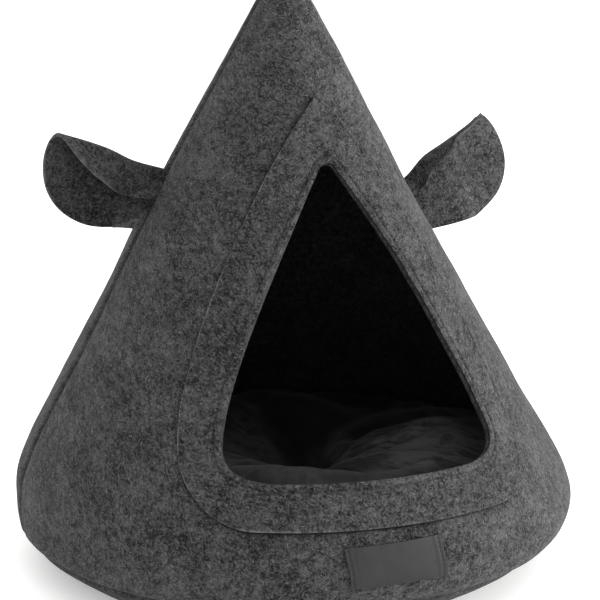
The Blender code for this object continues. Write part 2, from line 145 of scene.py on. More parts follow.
@dataclass(frozen=True)
class WallSurface:
    """The outer face of the cave's wall, as a turned and leaning surface."""

    radius_table: HeightTable = HeightTable((
        (0.0000, 0.1764), (0.0120, 0.1944), (0.0240, 0.2101), (0.0380, 0.2220), (0.0520, 0.2249),
        (0.0700, 0.2225), (0.0950, 0.2123), (0.1300, 0.1927), (0.1800, 0.1641), (0.2400, 0.1308),
        (0.3100, 0.0940), (0.3800, 0.0554), (0.4670, 0.0066),
    ))
    lean_table: HeightTable = HeightTable((
        (0.000, 0.0000), (0.024, 0.0017), (0.038, 0.0063), (0.052, 0.0076), (0.070, 0.0054),
        (0.095, 0.0027), (0.130, 0.0010), (0.180, -0.0003), (0.240, -0.0015), (0.310, -0.0034),
        (0.380, -0.0026), (0.472, -0.0010),
    ))
    seam_height: float = 0.027
    belly_height: float = 0.052
    shoulder_height: float = 0.4670
    tip_height: float = 0.4716
    tip_opening: float = 0.0004
    least_radius: float = 0.3 * MM
    seam_roll: float = 2.4 * MM
    seam_roll_width: float = 4.0 * MM

    def radius(self, height: Array) -> Array:
        """Radius of the outer face, closing to a rounded point above the shoulder.

        Args:
            height: heights on the outer face.

        Returns:
            The radius at each height.
        """
        body = self.radius_table.read(height)
        over = np.clip((height - self.shoulder_height) / (self.tip_height - self.shoulder_height), 0.0, 1.0)
        return body * np.sqrt(np.clip(1.0 - over ** 2, self.tip_opening, 1.0))

    def slope(self, height: Array) -> Array:
        """Change of radius with height, kept finite at the tip.

        Args:
            height: heights on the outer face.

        Returns:
            The change of radius for a unit of height at each of them.
        """
        step = 0.4 * MM
        low = np.clip(height - step, 0.0, self.shoulder_height)
        high = np.clip(height + step, 0.0, self.shoulder_height)
        safe = np.maximum(high - low, step)
        return (self.radius_table.read(high) - self.radius_table.read(low)) / safe

    def slant(self, height: Array) -> Array:
        """Length of the wall's section from the lower seam up to a height.

        Args:
            height: heights on the outer face.

        Returns:
            The length up to each of them, negative below the seam.
        """
        ladder = np.linspace(0.0, self.tip_height, WALL_LADDER)
        steps = np.hypot(np.diff(ladder), np.diff(self.radius(ladder)))
        lengths = np.concatenate([[0.0], np.cumsum(steps)])
        return np.interp(height, ladder, lengths) - np.interp(self.seam_height, ladder, lengths)

    def waves(self, turn: Array, height: Array) -> Array:
        """Soft undulation of the felt, the same for everything that lies on the wall.

        Args:
            turn: angles round the cave.
            height: heights.

        Returns:
            How far the felt stands off the turned surface at each place.
        """
        radius = self.radius(height)
        place = np.stack([radius * np.sin(turn), -radius * np.cos(turn), height], axis=-1)
        total = np.zeros_like(radius)
        for wave in FELT_WAVES:
            direction = np.array(wave.direction) / np.linalg.norm(wave.direction)
            angle = 2.0 * np.pi * (place @ direction) / (wave.length_mm * MM) + wave.phase
            total += wave.rise_mm * MM * np.sin(angle)
        return total

    def seam_dip(self, turn: Array, height: Array) -> Array:
        """How far the felt rolls in towards the side seams and the lower seam.

        Args:
            turn: angles from the middle of the panel.
            height: heights.

        Returns:
            How far the felt lies inside the turned surface at each place.
        """
        side = (np.pi / 2.0 - np.abs(turn)) * self.radius(height)
        dip = bell(side, self.seam_roll_width) + bell(self.slant(height), self.seam_roll_width)
        return self.seam_roll * np.minimum(dip, 1.0)

    def point(self, turn: Array, height: Array, offset: Array) -> Array:
        """Points of the leaning wall.

        Args:
            turn: angle round the cave from the doorway's middle, in radians.
            height: height on the outer face.
            offset: distance outside that face, square to it.

        Returns:
            Array of points, with a last axis of x, y and z.
        """
        slope = self.slope(height)
        length = np.sqrt(1.0 + slope ** 2)
        radius = np.maximum(self.radius(height) + offset / length, self.least_radius)
        lifted = height - offset * slope / length
        return np.stack([
            radius * np.sin(turn) + self.lean_table.read(lifted),
            -radius * np.cos(turn),
            lifted,
        ], axis=-1)


WALL = WallSurface()


# ---------------------------------------------------------------- outlines drawn on the wall
@dataclass(frozen=True)
class Outline:
    """A closed outline on the wall: curves down its right half, mirrored, with a sideways drift."""

    curves: tuple[tuple[tuple[float, float], ...], ...]
    drift: HeightTable = HeightTable((
        (0.080, -0.0025), (0.150, -0.0025), (0.190, -0.0008), (0.225, 0.0015), (0.260, 0.0038),
        (0.300, 0.0052), (0.370, 0.0050),
    ))

    def right_half(self, counts: tuple[int, ...], sill: int) -> Array:
        """Points down the right half, from the middle of the top to the middle of the lower edge.

        Args:
            counts: number of steps along each curve.
            sill: number of steps along the level lower edge.

        Returns:
            Array of (across, height) rows.
        """
        points = [np.array([self.curves[0][0]])]
        for curve, count in zip(self.curves, counts):
            part = (np.arange(1, count + 1) / count)[:, None]
            rest = 1.0 - part
            a, b, c, d = (np.array(point) for point in curve)
            leaving = rest ** 3 * a + 3 * rest ** 2 * part * b
            arriving = 3 * rest * part ** 2 * c + part ** 3 * d
            points.append(leaving + arriving)
        corner = points[-1][-1]
        part = (np.arange(1, sill + 1) / sill)[:, None]
        points.append(corner * (1.0 - part) + np.array([0.0, corner[1]]) * part)
        return np.concatenate(points)

    def loop(self, counts: tuple[int, ...], sill: int) -> tuple[Array, Array]:
        """Turn and height of each point round the outline, from its top down the right and back up.

        Args:
            counts: number of steps along each curve of a half.
            sill: number of steps along half of the level lower edge.

        Returns:
            Turns and heights, one each for every point of the loop.
        """
        half = self.right_half(counts, sill)
        across = np.concatenate([half[:, 0], -half[-2:0:-1, 0]])
        height = np.concatenate([half[:, 1], half[-2:0:-1, 1]])
        across = across + self.drift.read(height)
        return across / WALL.radius(height), height


DOORWAY = Outline((
    ((0.0, 0.3215), (0.0060, 0.3215), (0.0075, 0.3150), (0.0110, 0.3110)),
    ((0.0110, 0.3110), (0.0300, 0.2850), (0.1060, 0.1600), (0.1058, 0.1310)),
    ((0.1058, 0.1310), (0.1050, 0.1210), (0.0950, 0.1160), (0.0740, 0.1146)),
))
FACING_EDGE = Outline((
    ((0.0, 0.3690), (0.0550, 0.3130), (0.1370, 0.1750), (0.1378, 0.1280)),
    ((0.1378, 0.1280), (0.1395, 0.1080), (0.1230, 0.0880), (0.0960, 0.0858)),
))
POINT_STEPS = 12      # steps along the doorway's rounded point
SIDE_STEPS = 120      # along its long side
CORNER_STEPS = 26     # round its lower corner
SILL_STEPS = 34       # along half of its sill
DOOR_COUNTS = (POINT_STEPS, SIDE_STEPS, CORNER_STEPS)
FACING_COUNTS = (POINT_STEPS + SIDE_STEPS, CORNER_STEPS)


def flat_places(turn: Array, height: Array) -> Array:
    """Places on the wall rolled out flat: distance across it and distance up it."""
    return np.stack([turn * WALL.radius(height), WALL.slant(height)], axis=-1)


def distance_from_ring(places: Array, ring: Array, reach: int = 14) -> Array:
    """Distance of each place from the part of a ring near its own column.

    Args:
        places: flat places in rows by columns, a column for each point of the ring.
        ring: flat places round the ring.
        reach: how many points to either side are looked at.

    Returns:
        Distances in rows by columns.
    """
    nearest = np.full(places.shape[:2], np.inf)
    for shift in range(-reach, reach):
        start = np.roll(ring, -shift, axis=0)[None]
        along = np.roll(ring, -shift - 1, axis=0)[None] - start
        part = np.sum((places - start) * along, axis=-1) / np.sum(along ** 2, axis=-1)
        foot = start + np.clip(part, 0.0, 1.0)[..., None] * along
        nearest = np.minimum(nearest, np.linalg.norm(places - foot, axis=-1))
    return nearest


@dataclass(frozen=True)
class Topstitch:
    """The line of stitching round the doorway and the groove that it pulls into the felt."""

    inset: float = 5.2 * MM
    groove_depth: float = 1.05 * MM
    groove_width: float = 0.95 * MM
    pitch: float = 4.6 * MM
    length: float = 3.2 * MM
    thread: float = 0.55 * MM
    edge_press: float = 0.45 * MM
    edge_press_width: float = 1.1 * MM
    puff: float = 0.35 * MM
    puff_inset: float = 2.6 * MM
    puff_width: float = 1.3 * MM

    def groove(self, distance: Array) -> Array:
        """Depth of the groove, with the doorway's edge pressed down and the felt between them puffed up.

        Args:
            distance: distances from the doorway's edge.

        Returns:
            How far the felt is pulled in at each of them.
        """
        pulled = self.groove_depth * bell(distance - self.inset, self.groove_width)
        pressed = self.edge_press * bell(distance, self.edge_press_width)
        puffed = self.puff * bell(distance - self.puff_inset, self.puff_width)
        return pulled + pressed - puffed


TOPSTITCH = Topstitch()


# ---------------------------------------------------------------- meshes
def new_piece(name: str, points: Array, faces: Array, uvs: Array | None = None) -> Piece:
    """Make a smooth-shaded object in the scene.

    Args:
        name: the piece's name.
        points: its vertices.
        faces: vertex numbers, one row for each face.
        uvs: places on the cloth in metres, for each corner of each face.

    Returns:
        The new object.
    """
    mesh = bpy.data.meshes.new(name)
    mesh.from_pydata(points.tolist(), [], faces.tolist())
    if uvs is not None:
        layer = mesh.uv_layers.new(name="cloth")
        layer.data.foreach_set("uv", uvs.reshape(-1).astype(np.float32))
    mesh.shade_smooth()
    mesh.set_sharp_from_angle(angle=SHARP_ANGLE)
    piece = bpy.data.objects.new(name, mesh)
    bpy.context.scene.collection.objects.link(piece)
    return piece


def volume(points: Array, faces: Array) -> float:
    """Signed volume of a closed mesh of four-sided faces.

    Args:
        points: its vertices.
        faces: vertex numbers, one row for each face.

    Returns:
        The volume, negative where the faces look inwards.
    """
    a, b, c, d = (points[faces[:, corner]] for corner in range(4))
    first = np.sum(a * np.cross(b, c), axis=-1).sum()
    second = np.sum(a * np.cross(c, d), axis=-1).sum()
    return float(first + second) / 6.0


def sheet_piece(name: str, outer: Array, inner: Array, cloth: Array, wrapped: bool = False,
                tint: Array | None = None, side_tint: float = 0.0) -> Piece:
    """Make a closed sheet from its two faces, with slightly rounded cut edges.

    Args:
        name: the piece's name.
        outer: points of the outer face, in rows by columns.
        inner: points of the inner face, in the same rows and columns.
        cloth: places on the flat cloth in metres, for each row and column.
        wrapped: whether the last column joins the first.
        tint: for each row and column, how much the pale ends of cut fibres show (up to 1) or how much painted
        shade darkens the felt (down to -1).
        side_tint: the same for the middle of the cut edge.

    Returns:
        The new object.
    """
    rows, columns = outer.shape[:2]
    number = np.arange(rows * columns).reshape(rows, columns)
    if wrapped:
        number = np.concatenate([number, number[:, :1]], axis=1)
        cloth_wide = np.concatenate([cloth, cloth[:, :1]], axis=1)
    else:
        cloth_wide = cloth
    a, b = number[:-1, :-1], number[:-1, 1:]
    c, d = number[1:, 1:], number[1:, :-1]
    top = np.stack([a, b, c, d], axis=-1).reshape(-1, 4)
    flat = cloth_wide.reshape(-1, 2)
    place = np.arange(flat.shape[0]).reshape(cloth_wide.shape[:2])
    place = np.stack([place[:-1, :-1], place[:-1, 1:], place[1:, 1:], place[1:, :-1]], axis=-1).reshape(-1, 4)
    count = rows * columns
    faces = [top, top[:, ::-1] + count]
    uvs = [flat[place], flat[place[:, ::-1]]]

    edges = [(number[0, 1:], number[0, :-1]), (number[-1, :-1], number[-1, 1:])]
    outer_flat, inner_flat = outer.reshape(-1, 3), inner.reshape(-1, 3)
    push = np.zeros_like(outer_flat)
    grid_push = push.reshape(rows, columns, 3)
    grid_push[0] += outer[0] - outer[1]
    grid_push[-1] += outer[-1] - outer[-2]
    if not wrapped:
        grid_push[:, 0] += outer[:, 0] - outer[:, 1]
        grid_push[:, -1] += outer[:, -1] - outer[:, -2]
        edges += [(number[:-1, 0], number[1:, 0]), (number[1:, -1], number[:-1, -1])]
    length = np.linalg.norm(push, axis=-1, keepdims=True)
    push = push / np.maximum(length, 1e-9)
    thickness = np.linalg.norm(outer_flat - inner_flat, axis=-1, keepdims=True)
    middle = (outer_flat + inner_flat) / 2.0 + push * thickness * EDGE_ROUNDING
    rim = np.unique(np.concatenate([edge for pair in edges for edge in pair]))
    middle_number = np.full(count, -1)
    middle_number[rim] = 2 * count + np.arange(len(rim))
    cloth_flat = cloth.reshape(-1, 2)
    shift = np.full(2, float(thickness.mean()) / 2.0 * EDGE_CLOTH)
    for first, second in edges:
        first_middle, second_middle = middle_number[first], middle_number[second]
        upper = np.stack([first, second, second_middle, first_middle], axis=-1)
        lower = np.stack([first_middle, second_middle, second + count, first + count], axis=-1)
        faces += [upper, lower]
        start, end = cloth_flat[first], cloth_flat[second]
        uvs.append(np.stack([start, end, end + shift, start + shift], axis=1))
        uvs.append(np.stack([start + shift, end + shift, end + 2 * shift, start + 2 * shift], axis=1))
    points = np.concatenate([outer_flat, inner_flat, middle[rim]])
    all_faces = np.concatenate(faces)
    all_uvs = np.concatenate(uvs)
    if volume(points, all_faces) < 0.0:
        all_faces = all_faces[:, ::-1]
        all_uvs = all_uvs[:, ::-1]
    piece = new_piece(name, points, all_faces, all_uvs)
    shown = np.zeros(count) if tint is None else tint.reshape(-1)
    # the inner face takes only the painted shade
    shown = np.concatenate([shown, np.minimum(shown, 0.0), np.full(len(rim), side_tint)])
    point_values(piece, "cut_ends_and_painted_light", shown)
    return piece


def point_values(piece: Piece, name: str, values: Array) -> None:
    """Store a number at each of a piece's vertices for its material to read."""
    layer = piece.data.attributes.new(name, "FLOAT", "POINT")
    layer.data.foreach_set("value", values.astype(np.float32))


def crowded(count: int, low: float, high: float) -> Array:
    """Numbers from 0 to 1 whose steps are small near either end.

    Args:
        count: how many steps.
        low: crowding near 0, 0 for none and up to 1.
        high: crowding near 1, likewise.

    Returns:
        The count + 1 numbers.
    """
    part = np.linspace(0.0, 1.0, count + 1)
    weight = 1.0 - low * np.exp(-part / CROWDING_REACH) - high * np.exp(-(1.0 - part) / CROWDING_REACH)
    steps = np.maximum((weight[:-1] + weight[1:]) / 2.0, LEAST_STEP)
    total = np.concatenate([[0.0], np.cumsum(steps)])
    return total / total[-1]


def area_of(points: Array) -> float:
    """Area of a surface.

    Args:
        points: its points, in rows by columns.

    Returns:
        The area in square metres.
    """
    across = points[:-1, 1:] - points[:-1, :-1]
    down = points[1:, :-1] - points[:-1, :-1]
    return float(np.linalg.norm(np.cross(across, down), axis=-1).sum())


def thread_piece(name: str, runs: list[Array], thickness: float, sides: int = 6,
                 end_power: int = 6, least_swell: float = 0.05) -> Piece:
    """Make short lengths of sewing thread as one piece.

    Args:
        name: the piece's name.
        runs: the points that each length follows.
        thickness: the thread's diameter in metres.
        sides: facets round the thread.
        end_power: how suddenly the thread narrows at its ends.
        least_swell: share of its section that is left there.

    Returns:
        The new object.
    """
    points, faces = [], []
    start = 0
    angle = 2.0 * np.pi * np.arange(sides) / sides
    for run in runs:
        tangent = np.gradient(run, axis=0)
        tangent /= np.linalg.norm(tangent, axis=1, keepdims=True)
        nearly_upright = abs(tangent[0, 2]) >= 0.9
        helper = np.array([1.0, 0.0, 0.0]) if nearly_upright else np.array([0.0, 0.0, 1.0])
        first = np.cross(tangent, helper)
        first /= np.linalg.norm(first, axis=1, keepdims=True)
        second = np.cross(tangent, first)
        count = len(run)
        along = np.linspace(-1.0, 1.0, count)
        swell = np.sqrt(np.clip(1.0 - along ** end_power, least_swell, 1.0)) * thickness / 2.0
        ring = run[:, None] + swell[:, None, None] * (
            np.cos(angle)[None, :, None] * first[:, None] + np.sin(angle)[None, :, None] * second[:, None]
        )
        points.append(ring.reshape(-1, 3))
        for row in range(count - 1):
            for side in range(sides):
                after = (side + 1) % sides
                faces.append((
                    start + row * sides + side, start + row * sides + after,
                    start + (row + 1) * sides + after, start + (row + 1) * sides + side,
                ))
        faces.append(tuple(start + side for side in range(sides))[::-1])
        faces.append(tuple(start + (count - 1) * sides + side for side in range(sides)))
        start += count * sides
    mesh = bpy.data.meshes.new(name)
    mesh.from_pydata(np.concatenate(points).tolist(), [], faces)
    rig = bmesh.new()
    rig.from_mesh(mesh)
    bmesh.ops.recalc_face_normals(rig, faces=rig.faces[:])
    rig.to_mesh(mesh)
    rig.free()
    mesh.shade_smooth()
    piece = bpy.data.objects.new(name, mesh)
    bpy.context.scene.collection.objects.link(piece)
    return piece


# ---------------------------------------------------------------- materials
def linear(code: str) -> tuple[float, float, float, float]:
    """Turn an sRGB colour to linear.

    Args:
        code: a hex code such as "#3d3d3d".

    Returns:
        Its red, green, blue and alpha.
    """
    channels = [int(code[start:start + 2], 16) / 255.0 for start in (1, 3, 5)]
    straight = [c / 12.92 if c <= 0.04045 else ((c + 0.055) / 1.055) ** 2.4 for c in channels]
    return (*straight, 1.0)


def add_node(tree: bpy.types.NodeTree, kind: str, settings: dict[str, Any] | None = None,
             inputs: dict[Any, Any] | None = None) -> bpy.types.Node:
    """Add a node with its settings and links.

    Args:
        tree: the material's node tree.
        kind: the node's type.
        settings: the node's own properties.
        inputs: a value, or a socket to link, for each input by name or number.

    Returns:
        The new node.
    """
    node = tree.nodes.new(kind)
    for name, value in (settings or {}).items():
        setattr(node, name, value)
    for key, value in (inputs or {}).items():
        if isinstance(value, bpy.types.NodeSocket):
            tree.links.new(value, node.inputs[key])
        else:
            node.inputs[key].default_value = value
    return node


def empty_material(name: str) -> tuple[Material, bpy.types.NodeTree]:
    """Make a material whose node tree is empty.

    Args:
        name: the material's name.

    Returns:
        The material and its tree.
    """
    material = bpy.data.materials.new(name)
    material.use_nodes = True
    material.node_tree.nodes.clear()
    return material, material.node_tree


@dataclass(frozen=True)
class FeltFinish:
    """Needle-punched marl felt: dark and light fibres tangled into a thick matt sheet.

    The eye sees a fine salt-and-pepper grain with short light fibres, soft clouds where the blend is uneven,
    paler fibre ends along a raw cut edge, partly a painted highlight along the facing's free edge, painted
    shade at seams, under the facing's free edge and on cut edges, and no gloss at all. The real fibres are
    0.03 mm thick, too fine to show, so they are drawn as flecks of just under 1 mm.
    """

    name: str
    dark: str = "#212121"
    light: str = "#5d5d5d"
    hair: str = "#7e7e7e"
    # pale cut fibre ends; along the facing's free edge also a painted highlight, most on its left side
    cut: str = "#8a8a8a"
    # colour of painted shade: at the side seams, under the facing's free edge, down cut edges and over the
    # left ear
    pressed: str = "#151515"
    fleck_length_mm: float = 4.6
    fleck_width_mm: float = 0.8
    fleck_degrees: tuple[float, ...] = (8.0, 66.0, 127.0)   # three layers of fibres, laid different ways
    fleck_shift: tuple[float, float] = (0.37, 0.71)
    bend_mm: float = 6.0
    bend_push_mm: float = 2.6
    grain_mm: float = 1.9
    mottle_mm: float = 6.5
    cloud_mm: float = 34.0
    grain_share: float = 0.56
    fleck_share: float = 0.50
    mottle_share: float = 0.46
    cloud_share: float = 0.24
    all_dark: float = 0.78            # sum of the layers at which the dark fibres cover the light ones
    all_light: float = 1.08
    stray_from: float = 0.66          # brightness of a fleck at which it shows as one light hair
    stray_full: float = 0.80
    stray_share: float = 0.55
    grain_relief: float = 0.8
    bump_mm: float = 0.45
    roughness: float = 0.96
    sheen: float = 0.08

    def material(self) -> Material:
        """Build the finish.

        Returns:
            Its node material.
        """
        material, tree = empty_material(self.name)
        cloth = add_node(tree, "ShaderNodeUVMap", {"uv_map": "cloth"}).outputs["UV"]
        bend = add_node(tree, "ShaderNodeTexNoise", {"noise_dimensions": "2D"}, {
            "Vector": cloth, "Scale": 1.0 / (self.bend_mm * MM), "Detail": 1.0,
        }).outputs["Color"]
        centred = add_node(tree, "ShaderNodeVectorMath", {"operation": "SUBTRACT"}, {
            0: bend, 1: (0.5, 0.5, 0.5),
        })
        pushed = add_node(tree, "ShaderNodeVectorMath", {"operation": "SCALE"}, {
            0: centred.outputs[0], "Scale": self.bend_push_mm * MM,
        })
        curled = add_node(tree, "ShaderNodeVectorMath", {"operation": "ADD"}, {
            0: cloth, 1: pushed.outputs[0],
        }).outputs[0]
        flecks = None
        for index, degrees in enumerate(self.fleck_degrees):
            turned = add_node(tree, "ShaderNodeMapping", {"vector_type": "TEXTURE"}, {
                "Vector": curled,
                "Location": (self.fleck_shift[0] * index, self.fleck_shift[1] * index, 0.0),
                "Rotation": (0.0, 0.0, math.radians(degrees)),
                "Scale": (self.fleck_length_mm * MM, self.fleck_width_mm * MM, 1.0),
            })
            layer = add_node(tree, "ShaderNodeTexNoise", {"noise_dimensions": "2D"}, {
                "Vector": turned.outputs[0], "Scale": 1.0, "Detail": 1.6, "Roughness": 0.6,
            }).outputs["Fac"]
            if flecks is None:
                flecks = layer
            else:
                flecks = add_node(tree, "ShaderNodeMath", {"operation": "MAXIMUM"}, {
                    0: flecks, 1: layer,
                }).outputs[0]
        sizes = ((self.grain_mm, 3.0), (self.mottle_mm, 3.0), (self.cloud_mm, 2.0))
        grain, mottle, cloud = (add_node(tree, "ShaderNodeTexNoise", {"noise_dimensions": "2D"}, {
            "Vector": curled, "Scale": 1.0 / (size * MM), "Detail": detail, "Roughness": 0.7,
        }).outputs["Fac"] for size, detail in sizes)
        tone = add_node(tree, "ShaderNodeMath", {"operation": "MULTIPLY"}, {
            0: grain, 1: self.grain_share,
        }).outputs[0]
        shares = ((flecks, self.fleck_share), (mottle, self.mottle_share), (cloud, self.cloud_share))
        for layer, weight in shares:
            tone = add_node(tree, "ShaderNodeMath", {"operation": "MULTIPLY_ADD"}, {
                0: layer, 1: weight, 2: tone,
            }).outputs[0]
        share = add_node(tree, "ShaderNodeMapRange", {}, {
            "Value": tone, "From Min": self.all_dark, "From Max": self.all_light,
        }).outputs[0]
        marl = add_node(tree, "ShaderNodeMix", {"data_type": "RGBA"}, {
            0: share, 6: linear(self.dark), 7: linear(self.light),
        }).outputs[2]
        stray = add_node(tree, "ShaderNodeMapRange", {"interpolation_type": "SMOOTHSTEP"}, {
            "Value": flecks, "From Min": self.stray_from, "From Max": self.stray_full,
            "To Max": self.stray_share,
        }).outputs[0]
        haired = add_node(tree, "ShaderNodeMix", {"data_type": "RGBA"}, {
            0: stray, 6: marl, 7: linear(self.hair),
        }).outputs[2]
        raw = add_node(tree, "ShaderNodeAttribute", {"attribute_name": "cut_ends_and_painted_light"}).outputs["Fac"]
        uneven = add_node(tree, "ShaderNodeMapRange", {}, {
            "Value": grain, "From Min": 0.35, "From Max": 0.65, "To Min": 0.3, "To Max": 1.0,
        }).outputs[0]
        ends = add_node(tree, "ShaderNodeMath", {"operation": "MULTIPLY", "use_clamp": True}, {
            0: raw, 1: uneven,
        }).outputs[0]
        edged = add_node(tree, "ShaderNodeMix", {"data_type": "RGBA"}, {
            0: ends, 6: haired, 7: linear(self.cut),
        }).outputs[2]
        # painted shade where the attribute is negative
        painted_shade_share = add_node(tree, "ShaderNodeMath", {"operation": "MULTIPLY", "use_clamp": True}, {
            0: raw, 1: -1.0,
        }).outputs[0]
        colour = add_node(tree, "ShaderNodeMix", {"data_type": "RGBA"}, {
            0: painted_shade_share, 6: edged, 7: linear(self.pressed),
        }).outputs[2]
        relief = add_node(tree, "ShaderNodeMath", {"operation": "MULTIPLY_ADD"}, {
            0: grain, 1: self.grain_relief, 2: flecks,
        })
        bump = add_node(tree, "ShaderNodeBump", {}, {
            "Height": relief.outputs[0], "Strength": 1.0, "Distance": self.bump_mm * MM,
        })
        shader = add_node(tree, "ShaderNodeBsdfPrincipled", {}, {
            "Base Color": colour, "Normal": bump.outputs[0], "Roughness": self.roughness, "IOR": 1.5,
            "Specular IOR Level": 0.25, "Sheen Weight": self.sheen, "Sheen Roughness": 0.6,
        })
        add_node(tree, "ShaderNodeOutputMaterial", {}, {"Surface": shader.outputs[0]})
        return material


@dataclass(frozen=True)
class PlushFinish:
    """Knitted short-pile polyester plush: near black, paler where its nap lies over and where light is
    painted.

    The pale share is read from the cushion's "brushed_and_painted_light" attribute, which holds painted
    highlights on crests and near the doorway and painted shade in creases, at the back and on the front roll.
    It is broken up by patches of nap and by the pull of the tuft, which combs the pile into streaks that run
    out from it. The single tufts of pile are 0.2 mm thick, too fine to show, so the pile is drawn eight times
    as coarse.
    """

    name: str
    deep: str = "#2b2b2b"
    # pale colour for laid-over pile and for painted light
    brushed_and_painted_light: str = "#747475"
    tuft: tuple[float, float] = (0.022, 0.006)
    combs_per_turn: float = 84.0
    comb_length_mm: float = 30.0
    nap_mm: float = 9.0
    pile_mm: float = 1.6
    comb_share: float = 1.5
    pile_share: float = 0.6
    upright_at: float = 1.15          # sum of the layers at which the pile stands up
    laid_at: float = 1.95             # and at which it lies right over
    least_pale_share: float = 0.25
    most_pale_share: float = 1.75
    bump_mm: float = 0.3
    sheen: float = 0.16

    def material(self) -> Material:
        """Build the finish.

        Returns:
            Its node material.
        """
        material, tree = empty_material(self.name)
        place = add_node(tree, "ShaderNodeTexCoord").outputs["Object"]
        nap = add_node(tree, "ShaderNodeTexNoise", {}, {
            "Vector": place, "Scale": 1.0 / (self.nap_mm * MM), "Detail": 2.0, "Distortion": 0.4,
        }).outputs["Fac"]
        pile = add_node(tree, "ShaderNodeTexNoise", {}, {
            "Vector": place, "Scale": 1.0 / (self.pile_mm * MM), "Detail": 3.0, "Roughness": 0.7,
        }).outputs["Fac"]
        from_tuft = add_node(tree, "ShaderNodeVectorMath", {"operation": "SUBTRACT"}, {
            0: place, 1: (*self.tuft, 0.0),
        }).outputs[0]
        sides = add_node(tree, "ShaderNodeSeparateXYZ", {}, {0: from_tuft}).outputs
        forward = add_node(tree, "ShaderNodeMath", {"operation": "MULTIPLY"}, {
            0: sides["Y"], 1: -1.0,
        }).outputs[0]
        turn = add_node(tree, "ShaderNodeMath", {"operation": "ARCTAN2"}, {
            0: sides["X"], 1: forward,
        }).outputs[0]
        reach = add_node(tree, "ShaderNodeVectorMath", {"operation": "LENGTH"}, {
            0: from_tuft,
        }).outputs["Value"]
        round_tuft = add_node(tree, "ShaderNodeMath", {"operation": "MULTIPLY"}, {
            0: turn, 1: self.combs_per_turn / (2.0 * math.pi),
        }).outputs[0]
        outwards = add_node(tree, "ShaderNodeMath", {"operation": "DIVIDE"}, {
            0: reach, 1: self.comb_length_mm * MM,
        }).outputs[0]
        combing = add_node(tree, "ShaderNodeCombineXYZ", {}, {0: round_tuft, 1: outwards}).outputs[0]
        combed = add_node(tree, "ShaderNodeTexNoise", {"noise_dimensions": "2D"}, {
            "Vector": combing, "Scale": 1.0, "Detail": 2.5, "Roughness": 0.6, "Distortion": 0.5,
        }).outputs["Fac"]
        streaked = add_node(tree, "ShaderNodeMath", {"operation": "MULTIPLY_ADD"}, {
            0: combed, 1: self.comb_share, 2: nap,
        }).outputs[0]
        both = add_node(tree, "ShaderNodeMath", {"operation": "MULTIPLY_ADD"}, {
            0: pile, 1: self.pile_share, 2: streaked,
        }).outputs[0]
        uneven = add_node(tree, "ShaderNodeMapRange", {}, {
            "Value": both, "From Min": self.upright_at, "From Max": self.laid_at,
            "To Min": self.least_pale_share, "To Max": self.most_pale_share,
        }).outputs[0]
        # painted light and shade of the pile, read from the cushion
        laid = add_node(tree, "ShaderNodeAttribute", {"attribute_name": "brushed_and_painted_light"}).outputs["Fac"]
        share = add_node(tree, "ShaderNodeMath", {"operation": "MULTIPLY", "use_clamp": True}, {
            0: laid, 1: uneven,
        })
        colour = add_node(tree, "ShaderNodeMix", {"data_type": "RGBA"}, {
            0: share.outputs[0], 6: linear(self.deep), 7: linear(self.brushed_and_painted_light),
        }).outputs[2]
        bump = add_node(tree, "ShaderNodeBump", {}, {
            "Height": pile, "Strength": 0.8, "Distance": self.bump_mm * MM,
        })
        shader = add_node(tree, "ShaderNodeBsdfPrincipled", {}, {
            "Base Color": colour, "Normal": bump.outputs[0], "Roughness": 0.88, "IOR": 1.5,
            "Specular IOR Level": 0.3, "Sheen Weight": self.sheen, "Sheen Roughness": 0.5,
        })
        add_node(tree, "ShaderNodeOutputMaterial", {}, {"Surface": shader.outputs[0]})
        return material


@dataclass(frozen=True)
class WovenFinish:
    """Damask-woven polyester label: smooth, closely woven and faintly satiny.

    The real weave has 40 threads to the centimetre, too fine to show, so it is drawn twice as coarse.
    """

    name: str
    warp: str = "#323232"
    weft: str = "#3d3d3d"
    thread_mm: float = 0.5
    wear_mm: float = 11.0
    weave_share: float = 0.6
    bump_mm: float = 0.06

    def material(self) -> Material:
        """Build the finish.

        Returns:
            Its node material.
        """
        material, tree = empty_material(self.name)
        cloth = add_node(tree, "ShaderNodeUVMap", {"uv_map": "cloth"}).outputs["UV"]
        threads = []
        for direction in ("X", "Y"):
            threads.append(add_node(tree, "ShaderNodeTexWave", {
                "wave_type": "BANDS", "bands_direction": direction, "wave_profile": "SIN",
            }, {
                "Vector": cloth, "Scale": BAND_PERIOD / (self.thread_mm * MM), "Distortion": 0.4,
                "Detail": 1.0,
            }).outputs["Fac"])
        weave = add_node(tree, "ShaderNodeMath", {"operation": "MULTIPLY"}, {
            0: threads[0], 1: threads[1],
        }).outputs[0]
        wear = add_node(tree, "ShaderNodeTexNoise", {"noise_dimensions": "2D"}, {
            "Vector": cloth, "Scale": 1.0 / (self.wear_mm * MM), "Detail": 3.0,
        }).outputs["Fac"]
        share = add_node(tree, "ShaderNodeMath", {"operation": "MULTIPLY_ADD"}, {
            0: weave, 1: self.weave_share, 2: wear,
        }).outputs[0]
        colour = add_node(tree, "ShaderNodeMix", {"data_type": "RGBA"}, {
            0: share, 6: linear(self.warp), 7: linear(self.weft),
        }).outputs[2]
        bump = add_node(tree, "ShaderNodeBump", {}, {
            "Height": weave, "Strength": 0.8, "Distance": self.bump_mm * MM,
        })
        shader = add_node(tree, "ShaderNodeBsdfPrincipled", {}, {
            "Base Color": colour, "Normal": bump.outputs[0], "Roughness": 0.52, "IOR": 1.5,
            "Specular IOR Level": 0.4,
        })
        add_node(tree, "ShaderNodeOutputMaterial", {}, {"Surface": shader.outputs[0]})
        return material


